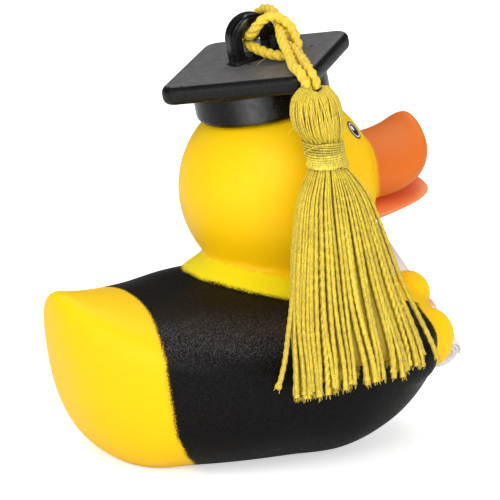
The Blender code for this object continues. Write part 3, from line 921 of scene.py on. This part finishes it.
    def ribbon(self) -> bpy.types.Object:
        """The ribbon round the scroll."""
        run = (self.diploma_foot - self.diploma_top).normalized()
        middle = self.diploma_top.lerp(self.diploma_foot, self.ribbon_place)
        radius = self.diploma_radius + self.ribbon_proud
        turn = run.to_track_quat("Z", "Y").to_matrix().to_4x4()

        def shape(bm: bmesh.types.BMesh) -> None:
            """Adds the form to a bmesh."""
            bmesh.ops.create_cone(
                bm, cap_ends=True, segments=64, depth=self.ribbon_width, radius1=radius,
                radius2=radius, matrix=Matrix.Translation(middle) @ turn,
            )
            rim = [e for e in bm.edges if len(e.link_faces) == 2 and e.calc_face_angle() > 1]
            round_edges(bm, rim, 0.3 * MM, 3)

        obj = mesh_object("scroll_ribbon", shape)
        shade_smooth(obj)
        return obj

    def build(self) -> None:
        """Builds and dresses every vinyl piece of the duck."""
        paint = PaintedVinyl().material()
        for piece in (self.skin(), self.bill()):
            self.paint_fields(piece)
            finish_piece(piece, paint, "painted_vinyl", "duck_body")
        eye_paint = EyePaint().material()
        for side in Quarter:
            finish_piece(self.eye(side), eye_paint, "painted_vinyl", "duck_body")
        paper = PlainFinish("paper_paint", (0.86, 0.86, 0.84), 0.45, 0.05).material()
        finish_piece(self.scroll(), paper, "painted_vinyl", "duck_body")
        salmon = PlainFinish("ribbon_paint", (0.93, 0.42, 0.24), 0.4, 0.12).material()
        finish_piece(self.ribbon(), salmon, "painted_vinyl", "duck_body")


@dataclass
class Cap:
    """The square cap: board, band and eye loop, moulded in one."""

    head: Vector = HEAD
    lean: float = math.radians(12)
    top: float = 27.8 * MM
    set_forward: float = 0.5 * MM
    side: float = 32.6 * MM
    thickness: float = 4.0 * MM
    band_radius: float = 14.2 * MM
    band_drop: float = 6.7 * MM
    band_rounding: float = 1.3 * MM
    corner_rounding: float = 3.2 * MM
    rim_rounding: float = 1.5 * MM
    loop_length: float = 10.6 * MM
    loop_height: float = 9.9 * MM
    loop_width: float = 4.2 * MM
    loop_strap: float = 2.5 * MM
    loop_sill: float = 1.3 * MM
    loop_root: float = -2 * MM
    loop_rounding: float = 0.9 * MM
    highlight_patch_turn: float = 35
    highlight_patch_spread: float = 12
    voxel: float = 0.26 * MM

    def matrix(self) -> Matrix:
        """The board's top in the duck's frame: X to the left, Y back, Z out of the board."""
        up = Matrix.Translation((0, -self.set_forward, self.top))
        return Matrix.Translation(self.head) @ Matrix.Rotation(-self.lean, 4, "X") @ up

    def place(self, forward: float, right: float, up: float) -> Vector:
        """A point in the duck's frame, from millimetres off the middle of the board's top.

        Args:
            forward: How far forward.
            right: How far to the right.
            up: How far out of the board.

        Returns:
            The point, in metres.
        """
        return self.matrix() @ (Vector((-right, -forward, up)) * MM)

    def board(self, bm: bmesh.types.BMesh) -> None:
        """Adds the board, one corner forward."""
        size = Matrix.Diagonal((self.side, self.side, self.thickness, 1))
        made = bmesh.ops.create_cube(bm, size=1, matrix=size)
        edges = {e for v in made["verts"] for e in v.link_edges}
        upright = [e for e in edges if abs(e.verts[0].co.z - e.verts[1].co.z) > self.thickness / 2]
        round_edges(bm, upright, self.corner_rounding, 10)
        level = [e for e in bm.edges if abs(e.verts[0].co.z - e.verts[1].co.z) < 1e-6]
        round_edges(bm, [e for e in level if e.calc_face_angle(0) > 1], self.rim_rounding, 8)
        corner_on = Matrix.Translation((0, 0, -self.thickness / 2)) @ Matrix.Rotation(math.pi / 4, 4, "Z")
        bmesh.ops.transform(bm, matrix=self.matrix() @ corner_on, verts=bm.verts)

    def band(self, bm: bmesh.types.BMesh) -> None:
        """Adds the band round the head, rounded at its foot."""
        depth = self.band_drop + self.thickness / 2
        part = bmesh.new()
        radius = self.band_radius
        bmesh.ops.create_cone(part, cap_ends=True, segments=160, depth=depth, radius1=radius, radius2=radius)
        rim = [e for e in part.edges if all(v.co.z < 0 for v in e.verts)]
        round_edges(part, rim, self.band_rounding, 6)
        at = self.matrix() @ Matrix.Translation((0, 0, -(self.thickness + depth) / 2))
        bmesh.ops.transform(part, matrix=at, verts=part.verts)
        self.merge(bm, part)

    def merge(self, bm: bmesh.types.BMesh, part: bmesh.types.BMesh) -> None:
        """Adds one bmesh to another and frees it.

        Args:
            bm: The bmesh that grows.
            part: The bmesh that is added.
        """
        mesh = bpy.data.meshes.new("part")
        part.to_mesh(mesh)
        part.free()
        bm.from_mesh(mesh)
        bpy.data.meshes.remove(mesh)

    def arch(
        self, half: float, height: float, foot: float, width: float, rounding: float
    ) -> bmesh.types.BMesh:
        """A half-round block over two upright sides, across the board's middle.

        Args:
            half: Half its length.
            height: Its top, over the board.
            foot: Its foot, over the board.
            width: Its width.
            rounding: How far its edges are rounded, 0 for sharp ones.

        Returns:
            The block, for the caller to merge.
        """
        part = bmesh.new()
        steps = 32
        spring = height - half
        outline = [(-half, foot)]
        for step in range(steps + 1):
            turn = step * math.pi / steps
            outline.append((-half * math.cos(turn), spring + half * math.sin(turn)))
        outline.append((half, foot))
        face = part.faces.new([part.verts.new((-width / 2, along, up)) for along, up in outline])
        grown = bmesh.ops.extrude_face_region(part, geom=[face])
        moved = [v for v in grown["geom"] if isinstance(v, bmesh.types.BMVert)]
        bmesh.ops.translate(part, verts=moved, vec=(width, 0, 0))
        if rounding:
            flat = [e for e in part.edges if abs(e.verts[0].co.x - e.verts[1].co.x) < 1e-6]
            rim = [e for e in flat if max(v.co.z for v in e.verts) > foot + 1e-5]
            round_edges(part, rim, rounding, 5)
        bmesh.ops.recalc_face_normals(part, faces=part.faces)
        bmesh.ops.transform(part, matrix=self.matrix(), verts=part.verts)
        return part

    def build(self) -> None:
        """Builds the cap."""
        def loop(bm: bmesh.types.BMesh) -> None:
            """Adds the eye loop's block."""
            half = self.loop_length / 2
            strap = self.arch(half, self.loop_height, self.loop_root, self.loop_width, self.loop_rounding)
            self.merge(bm, strap)

        def hole(bm: bmesh.types.BMesh) -> None:
            """Adds the block that is cut from the loop."""
            half = self.loop_length / 2 - self.loop_strap
            height = self.loop_height - self.loop_strap
            self.merge(bm, self.arch(half, height, self.loop_sill, 2 * self.loop_width, 0))

        obj = mesh_object("cap", self.board, self.band, loop)
        cutter = mesh_object("loop_hole", hole)
        fuse = obj.modifiers.new("fuse_first", "REMESH")
        fuse.mode = "VOXEL"
        fuse.voxel_size = self.voxel
        cut = obj.modifiers.new("hole", "BOOLEAN")
        cut.operation = "DIFFERENCE"
        cut.object = cutter
        obj = apply_modifiers(obj)
        obj = moulded(obj, self.voxel, 4)
        bpy.data.objects.remove(cutter)
        flat = self.matrix().inverted()
        places = [flat @ v.co for v in obj.data.vertices]
        heights = [place.z / MM for place in places]
        turns = [math.degrees(math.atan2(place.y, -place.x)) for place in places]
        # The patch at one turn round the band where the specular level is raised to place a highlight.
        polish = [math.exp(-(((turn - self.highlight_patch_turn) / self.highlight_patch_spread) ** 2)) for turn in turns]
        for name, values in (("above", heights), ("polish", polish)):
            obj.data.attributes.new(name, "FLOAT", "POINT").data.foreach_set("value", values)
        finish_piece(obj, CapPaint().material(), "painted_vinyl", "duck_body")


@dataclass
class TwistedLine:
    """One or more lines of plied yarn, swept by a lobed profile that turns along them."""

    name: str
    radius: float
    pitch: float
    plies: int = 2
    depth: float = 0.26
    around: int = 12
    curve: bpy.types.Curve = field(init=False)

    def __post_init__(self) -> None:
        """Starts the curve that holds every line."""
        self.curve = bpy.data.curves.new(self.name, "CURVE")
        self.curve.dimensions = "3D"

    def add(
        self,
        points: Sequence[Vector],
        step: float,
        start: float = 0.0,
        widths: Callable[[float], float] | None = None,
    ) -> list[Vector]:
        """Adds one line, evenly resampled.

        Args:
            points: The places that it runs through.
            step: The spacing of its samples.
            start: The turn of its first profile.
            widths: Its width as a share, along 0 to 1.

        Returns:
            The samples.
        """
        lengths = [0.0]
        for a, b in zip(points, points[1:]):
            lengths.append(lengths[-1] + (b - a).length)
        count = max(3, int(lengths[-1] / step))
        samples = []
        index = 0
        for k in range(count + 1):
            at = lengths[-1] * k / count
            while index < len(points) - 2 and lengths[index + 1] < at:
                index += 1
            share = (at - lengths[index]) / max(lengths[index + 1] - lengths[index], 1e-9)
            samples.append(points[index].lerp(points[index + 1], share))
        spline = self.curve.splines.new("POLY")
        spline.points.add(len(samples) - 1)
        for k, (point, place) in enumerate(zip(spline.points, samples)):
            point.co = (*place, 1)
            point.tilt = start + 2 * math.pi * lengths[-1] * k / count / self.pitch
            point.radius = widths(k / count) if widths else 1.0
        return samples

    def profile(self) -> bpy.types.Object:
        """The lobed cross-section."""
        curve = bpy.data.curves.new(f"{self.name}_profile", "CURVE")
        spline = curve.splines.new("POLY")
        spline.points.add(self.around - 1)
        for k, point in enumerate(spline.points):
            angle = 2 * math.pi * k / self.around
            reach = self.radius * (1 - self.depth * (0.5 - 0.5 * math.cos(self.plies * angle)))
            point.co = (reach * math.cos(angle), reach * math.sin(angle), 0, 1)
        spline.use_cyclic_u = True
        obj = bpy.data.objects.new(f"{self.name}_profile", curve)
        bpy.context.scene.collection.objects.link(obj)
        return obj

    def build(self) -> bpy.types.Object:
        """Sweeps the profile and returns one mesh object."""
        profile = self.profile()
        self.curve.bevel_mode = "OBJECT"
        self.curve.bevel_object = profile
        self.curve.use_fill_caps = True
        self.curve.twist_mode = "MINIMUM"
        obj = bpy.data.objects.new(self.name, self.curve)
        bpy.context.scene.collection.objects.link(obj)
        made = apply_modifiers(obj)
        bpy.data.objects.remove(profile)
        shade_smooth(made)
        return made


@dataclass
class Tassel:
    """The cord hitched through the loop, and the tassel: folded head, binding and hanging strands."""

    cap: Cap
    head: Vector = HEAD
    cord_diameter: float = 1.95 * MM
    cord_fullness: float = 0.59
    cord_pitch: float = 5.4 * MM
    cord_plies: int = 3
    route: Sequence[Row] = (
        (-1.0, 24.4, -2.5), (-1.0, 24.3, -1.0), (-1.1, 23.5, 0.4), (-1.0, 21.8, 1.4), (-0.8, 19.8, 1.6),
        (0.1, 17.5, 1.9), (1.0, 14.8, 2.9), (1.7, 12.0, 4.2), (2.5, 9.6, 5.4), (3.6, 7.4, 6.3),
        (4.5, 5.2, 7.4), (5.2, 2.8, 8.7), (5.2, 0.0, 9.2), (4.9, -2.4, 8.8), (3.4, -3.9, 7.3),
        (1.2, -4.0, 5.9), (-0.6, -1.4, 5.5), (-0.9, 1.4, 5.6), (-0.9, 3.4, 6.3), (-0.1, 4.9, 8.0),
        (1.8, 5.8, 9.2), (3.9, 7.0, 8.8), (5.2, 8.6, 6.9), (5.5, 9.6, 4.6), (5.1, 10.6, 2.2),
        (3.7, 10.4, 1.3), (2.0, 8.9, 1.4), (0.7, 6.6, 1.8), (-0.3, 4.4, 2.5), (-0.9, 2.4, 3.2),
        (-0.9, 0.3, 3.3), (0.0, -2.0, 3.2), (2.0, -3.9, 3.3), (4.4, -4.0, 3.9), (6.6, -2.4, 4.4),
        (7.0, 0.4, 4.7), (6.0, 3.4, 4.6), (4.6, 6.4, 4.1), (3.4, 9.3, 3.4), (3.3, 12.4, 3.1),
        (2.7, 16.2, 2.2), (1.7, 20.0, 1.6), (1.1, 22.2, 1.2), (1.0, 23.6, 0.2), (1.1, 24.3, -1.2),
        (1.1, 24.4, -2.7),
    )
    stations: Sequence[Row] = (
        (-4.3, 24.6, 24.3, 2.6, 2.2),
        (-4.2, 24.8, 23.0, 4.6, 3.7),
        (-3.9, 25.0, 19.4, 5.2, 4.8),
        (-3.2, 25.0, 16.0, 4.6, 4.4),
        (-2.5, 25.0, 14.2, 3.7, 3.5),
        (-1.5, 25.1, 9.0, 3.8, 3.5),
        (-1.1, 25.6, 6.6, 5.4, 3.8),
        (-0.9, 27.2, 2.1, 8.3, 4.2),
        (-0.8, 29.9, -6.0, 10.8, 4.4),
        (-0.9, 33.2, -14.8, 13.1, 4.4),
        (-0.8, 36.2, -21.5, 14.9, 4.2),
        (-0.6, 38.9, -27.4, 16.0, 4.0),
        (-0.8, 40.6, -31.8, 16.4, 3.9),
    )
    outer_strands: int = 72
    inner_strands: int = 30
    strand_radius: float = 0.61 * MM
    stray_strands: Sequence[Row] = (
        (-1.50, 0.93, 0.99, 0.28),
        (1.46, 0.94, 0.958, 0.06),
        (1.95, 0.90, 0.955, 0.0),
        (-2.6, 1.0, 1.0, 0.05),
    )
    cut_slope: float = 2.4
    bound_at: float = 0.40
    head_threads: int = 140
    head_thread: float = 0.25 * MM
    crest: float = 0.16
    core_share: float = 0.84
    wraps: int = 11
    binding_thread: float = 0.33 * MM
    binding_top: float = 4.06
    binding_foot: float = 4.97

    @property
    def spans(self) -> int:
        """The number of spans between the stations."""
        return len(self.stations) - 1

    def surface(self, along: float, angle: float, share: float = 1.0) -> Vector:
        """A point in the tassel.

        Args:
            along: The share along its stations, from the crown to the strands' ends.
            angle: The angle round its middle line, from the right forwards.
            share: The share of its radius.

        Returns:
            The point.
        """
        forward, right, up, long_half, wide_half = (v * MM for v in smooth_row(self.stations, along))
        x = -(right + share * wide_half * math.cos(angle))
        y = -(forward + share * long_half * math.sin(angle))
        return self.head + Vector((x, y, up))

    def cord(self) -> None:
        """The cord, swept along its route through the loop."""
        places = [self.cap.place(*row) for row in self.route]
        count = 4 * (len(places) - 1)
        path = [Vector(smooth_row(places, k / count)) for k in range(count + 1)]
        radius = self.cord_fullness * self.cord_diameter
        line = TwistedLine("cord", radius, self.cord_pitch, plies=self.cord_plies, depth=0.26, around=18)
        samples = line.add(path, 0.3 * MM)
        obj = line.build()
        yarn = Yarn("cord_yarn", (0.95, 0.70, 0.040), (0.50, 0.30, 0.008)).material()
        finish_piece(obj, yarn, "tassel_thread", "tassel_cord")

    def strand_path(
        self, angle: float, share: float, rng: random.Random, end: float, spread: float = 0.0
    ) -> list[Vector]:
        """One hanging strand's line, with its own slow waver.

        Args:
            angle: Its place round the tassel.
            share: Its distance out, as a share of the tassel's radius.
            rng: The source of its waver.
            end: Where it ends along the stations, 1 at the last.
            spread: How far its end strays outward, as a share.

        Returns:
            The points of its line, from the binding down.
        """
        sway, phase = rng.uniform(0.15, 0.6) * MM, rng.uniform(0, 6.3)
        drift = rng.uniform(-0.05, 0.05)
        points = []
        steps = 24
        for k in range(steps + 1):
            t = k / steps
            along = self.bound_at + (end - self.bound_at) * t
            turn = angle + drift * math.sin(2.6 * t + phase)
            point = self.surface(min(along, 1.0), turn, share + spread * t**3)
            if along > 1:
                last_run = self.surface(1.0, angle, share) - self.surface(0.97, angle, share)
                point += last_run * (along - 1) / 0.03
            point += Vector((0, sway * math.sin(5 * t + phase), 0)) * eased(t, 0.2, 0.7)
            points.append(point)
        return points

    def frayed_end(self, line: "TwistedLine", path: Sequence[Vector], rng: random.Random) -> None:
        """Adds the loose fibres at a strand's cut end.

        Args:
            line: The lines that they join.
            path: The strand's points.
            rng: The source of their spread.
        """
        tip, run = path[-1], (path[-1] - path[-2]).normalized()
        for _ in range(5):
            out = Vector((rng.uniform(-1, 1), rng.uniform(-1, 1), rng.uniform(-0.4, 0.4)))
            begin = tip - run * 0.5 * MM + out * 0.25 * MM
            reach = rng.uniform(0.7, 1.5) * MM
            finish = begin + (run + out * 0.4).normalized() * reach
            middle = begin.lerp(finish, 0.5) + out * 0.05 * MM
            line.add([begin, middle, finish], 0.5 * MM, 0.0, lambda t: 0.16 - 0.08 * t)

    def strands(self) -> bpy.types.Object:
        """The hanging strands: an outer layer, an inner one, and a few that stray."""
        rng = random.Random(11)
        line = TwistedLine("tassel_strands", self.strand_radius, 4.0 * MM, depth=0.20, around=8)
        front = self.cut_slope / self.spans / (self.stations[-2][2] - self.stations[-1][2])
        layers = (
            (self.outer_strands, (0.94, 1.03), (-0.022, 0.012)),
            (self.inner_strands, (0.45, 0.72), (-0.03, 0.005)),
        )
        plans = []
        for count, shares, ends in layers:
            for k in range(count):
                angle = 2 * math.pi * (k + rng.uniform(-0.38, 0.38)) / count
                narrowing = 1 - (0.21 if math.sin(angle) > 0 else 0.05) * math.sin(angle) ** 2
                end = 1.0 - front * math.sin(angle) + rng.uniform(*ends)
                plans.append((angle, narrowing * rng.uniform(*shares), end, 0.0))
        plans += self.stray_strands
        for angle, share, end, spread in plans:
            full = rng.uniform(0.88, 1.1)

            def widths(t: float, full: float = full) -> float:
                """The strand's width, as a share, at a share of its length."""
                return full * (0.42 + 0.58 * eased(t, 0.0, 0.45) + 0.2 * eased(t, 0.96, 1.0))

            path = self.strand_path(angle, share, rng, end, spread)
            line.pitch = rng.uniform(3.2, 5.0) * MM
            line.add(path, 0.5 * MM, rng.uniform(0, 6), widths)
            self.frayed_end(line, path, rng)
        neck = self.surface(0.2, -1.4, 1.0)
        for hair in (
            [self.cap.place(1.3, 5.0, 1.0), self.cap.place(-1.0, 6.0, 0.9), self.cap.place(-2.7, 6.3, 0.4)],
            [neck, neck + Vector((0, 1.2, -0.6)) * MM, neck + Vector((0, 2.2, -1.7)) * MM],
        ):
            line.add(hair, 0.4 * MM, 0.0, lambda t: 0.09)
        return line.build()

    def folded_head(self) -> bpy.types.Object:
        """The threads folded over the cord's end in two lobes and drawn down to the binding."""
        rng = random.Random(5)
        line = TwistedLine("tassel_head", self.head_thread, 1.9 * MM, depth=0.12, around=6)
        steps = 30
        for layer, share in ((self.head_threads, 1.0), (self.head_threads // 2, 0.93)):
            for k in range(layer):
                angle = 2 * math.pi * (k + rng.uniform(-0.5, 0.5)) / layer
                lean = rng.uniform(-0.24, 0.24)
                swell = rng.uniform(0.96, 1.03) * share
                lobe = abs(math.sin(angle))
                top = self.surface(0.0, angle, 0.25) - Vector((0, 0, (0.5 + 1.0 * lobe) * MM))
                shoulder = self.surface(self.bound_at * self.crest, angle, swell)
                points = []
                for step in range(steps + 1):
                    t = step / steps
                    if t < self.crest:
                        blend = t / self.crest
                        point = top.lerp(shoulder, blend)
                        point.z += (0.5 + 1.5 * lobe) * MM * math.sin(math.pi * blend)
                    else:
                        turn = angle + lean * math.sin(math.pi * (t - self.crest) / (1 - self.crest))
                        point = self.surface(self.bound_at * t, turn, swell)
                    points.append(point)
                line.add(points, 0.5 * MM, rng.uniform(0, 6), lambda t, w=rng.uniform(0.8, 1.15): w)
        return line.build()

    def core(self) -> bpy.types.Object:
        """The mass of threads under the outer ones."""

        def shape(bm: bmesh.types.BMesh) -> None:
            """Adds the form to a bmesh."""
            made = bmesh.ops.create_uvsphere(bm, u_segments=48, v_segments=60, radius=1)
            for vert in made["verts"]:
                along = math.acos(max(-1.0, min(1.0, vert.co.z))) / math.pi
                angle = math.atan2(vert.co.y, vert.co.x)
                share = self.core_share * math.sqrt(max(0.0, 1 - (2 * along - 1) ** 16))
                vert.co = self.surface(0.02 + 0.93 * along, angle, share)

        obj = mesh_object("tassel_core", shape)
        shade_smooth(obj)
        return obj

    def binding(self) -> bpy.types.Object:
        """The wound binding, with two turns that cross the others."""
        rng = random.Random(3)
        line = TwistedLine("binding", self.binding_thread, 1.9 * MM, depth=0.14, around=8)
        top, foot = self.binding_top / self.spans, self.binding_foot / self.spans
        steps = self.wraps * 40
        points = []
        for k in range(steps + 1):
            t = k / steps
            angle = 2 * math.pi * self.wraps * t
            waver = 0.004 * math.sin(angle + 2.2 * math.sin(3 * t))
            along = top + (foot - top) * t + waver - 0.008 * t * math.sin(angle)
            points.append(self.surface(along, angle, 1.09 + 0.02 * math.sin(7 * t)))
        line.add(points, 0.3 * MM)
        for turn in (0.3, 2.4):
            cross = []
            for k in range(61):
                t = k / 60
                along = foot + (top - foot) * eased(t, 0.1, 0.9)
                cross.append(self.surface(along, turn + 1.3 * math.pi * t + rng.uniform(0, 0.01), 1.14))
            line.add(cross, 0.3 * MM)
        return line.build()

    def build(self) -> None:
        """Builds and dresses the cord and the tassel."""
        self.cord()
        gold = Yarn().material()
        finish_piece(self.strands(), gold, "tassel_thread", "tassel_threads")
        finish_piece(self.folded_head(), gold, "tassel_thread", "tassel_threads")
        # The core's yarn is the golden thread in a darker colour: painted shade for the threads deep inside
        # the tassel.
        core = Yarn("core_yarn", (0.50, 0.35, 0.015), (0.20, 0.13, 0.004)).material()
        finish_piece(self.core(), core, "tassel_thread", "tassel_threads")
        bound = Yarn("binding_yarn", (1.0, 0.80, 0.075), (0.10, 0.060, 0.002), 3800.0, 0.17).material()
        finish_piece(self.binding(), bound, "tassel_thread", "tassel_binding")


@dataclass(frozen=True)
class Lamp:
    """A soft square lamp that faces the duck, placed in degrees and metres, with its power in watts."""

    name: str
    azimuth: float
    elevation: float
    distance: float
    size: float
    power: float


@dataclass
class Studio:
    """A white sweep, soft lamps and the photograph's camera."""

    aim: Vector = HEAD
    azimuth: float = math.radians(243)
    elevation: float = math.radians(12)
    distance: float = 0.70
    lens: float = 240.9
    sensor: float = 36
    shift_right: float = -27.5
    shift_up: float = -65.0
    ambient: float = 0.66
    reflected: float = 0.12
    floor_glow: float = 0.55
    lamps: Sequence[Lamp] = (
        Lamp("key", 230, 33, 0.9, 0.5, 3.5),
        Lamp("fill", 285, 8, 1.0, 0.6, 3.0),
        Lamp("low", 205, 3, 0.9, 0.4, 1.5),
        Lamp("top", 60, 68, 1.0, 0.6, 2.7),
    )

    def toward(self, azimuth: float, elevation: float) -> Vector:
        """The direction from the duck to a viewer.

        Args:
            azimuth: The viewer's azimuth, 0 in front of the bill.
            elevation: The viewer's elevation.

        Returns:
            The direction, of length 1.
        """
        flat = math.cos(elevation)
        return Vector((math.sin(azimuth) * flat, -math.cos(azimuth) * flat, math.sin(elevation)))

    def camera(self) -> None:
        """Adds the camera."""
        data = bpy.data.cameras.new("photo_camera")
        data.lens = self.lens
        data.sensor_width = self.sensor
        data.shift_x = self.shift_right / FRAME_PIXELS
        data.shift_y = self.shift_up / FRAME_PIXELS
        data.clip_start = 0.01
        obj = bpy.data.objects.new("photo_camera", data)
        out = self.toward(self.azimuth, self.elevation)
        obj.location = self.aim + out * self.distance
        obj.rotation_euler = out.to_track_quat("Z", "Y").to_euler()
        bpy.context.scene.collection.objects.link(obj)
        bpy.context.scene.camera = obj

    def light(self, lamp: Lamp) -> None:
        """Adds a lamp.

        Args:
            lamp: The lamp to add.
        """
        data = bpy.data.lights.new(lamp.name, "AREA")
        data.size = lamp.size
        data.energy = lamp.power
        obj = bpy.data.objects.new(lamp.name, data)
        out = self.toward(math.radians(lamp.azimuth), math.radians(lamp.elevation))
        obj.location = self.aim + out * lamp.distance
        obj.rotation_euler = out.to_track_quat("Z", "Y").to_euler()
        bpy.context.scene.collection.objects.link(obj)

    def floor(self) -> None:
        """Adds the white floor."""
        def shape(bm: bmesh.types.BMesh) -> None:
            """Adds the form to a bmesh."""
            bmesh.ops.create_grid(bm, x_segments=2, y_segments=2, size=6)

        obj = mesh_object("floor", shape)
        g = Graph("floor_white")
        ray = g.tree.nodes.new("ShaderNodeLightPath").outputs["Is Camera Ray"]
        g.set(Base_Color=(0.93, 0.93, 0.93), Roughness=0.9, Specular_IOR_Level=0.1)
        g.set(Emission_Color=(1.0, 1.0, 1.0), Emission_Strength=g.math("MULTIPLY", ray, self.floor_glow))
        obj.data.materials.append(g.material)

    def world(self) -> None:
        """Sets the surroundings: white to the camera, softer as light, and dim in reflections."""
        world = bpy.data.worlds.new("white_studio")
        world.use_nodes = True
        bpy.context.scene.world = world
        back = world.node_tree.nodes["Background"]
        path = world.node_tree.nodes.new("ShaderNodeLightPath")
        strength: float | bpy.types.NodeSocket = self.ambient
        for ray, value in (("Is Glossy Ray", self.reflected), ("Is Camera Ray", 1.0)):
            mix = world.node_tree.nodes.new("ShaderNodeMix")
            world.node_tree.links.new(path.outputs[ray], mix.inputs[0])
            if isinstance(strength, bpy.types.NodeSocket):
                world.node_tree.links.new(strength, mix.inputs[2])
            else:
                mix.inputs[2].default_value = strength
            mix.inputs[3].default_value = value
            strength = mix.outputs[0]
        world.node_tree.links.new(strength, back.inputs["Strength"])
        back.inputs["Color"].default_value = (1, 1, 1, 1)

    def build(self) -> None:
        """Builds the stage."""
        self.camera()
        self.floor()
        self.world()
        for lamp in self.lamps:
            self.light(lamp)
        bpy.context.scene.view_settings.view_transform = "Standard"


def squeaker() -> None:
    """Dresses the two squeaker nodes under the base."""
    nylon = PlainFinish("squeaker_nylon", (0.80, 0.80, 0.77), 0.45, 0.06).material()
    for name in ("squeaker_housing", "squeaker_reed"):
        for obj in bpy.data.objects:
            if obj.name == name and obj.type == "MESH":
                obj.data.materials.clear()
                obj.data.materials.append(nylon)
                LOG.info("%s dressed", name)


def main() -> None:
    """Builds the stage, the cord and tassel, the cap and the duck."""
    logging.basicConfig(level=logging.INFO, format="%(message)s")
    cap = Cap()
    Studio().build()
    Tassel(cap).build()
    cap.build()
    Duck().build()
    squeaker()


if __name__ == "__main__":
    main()
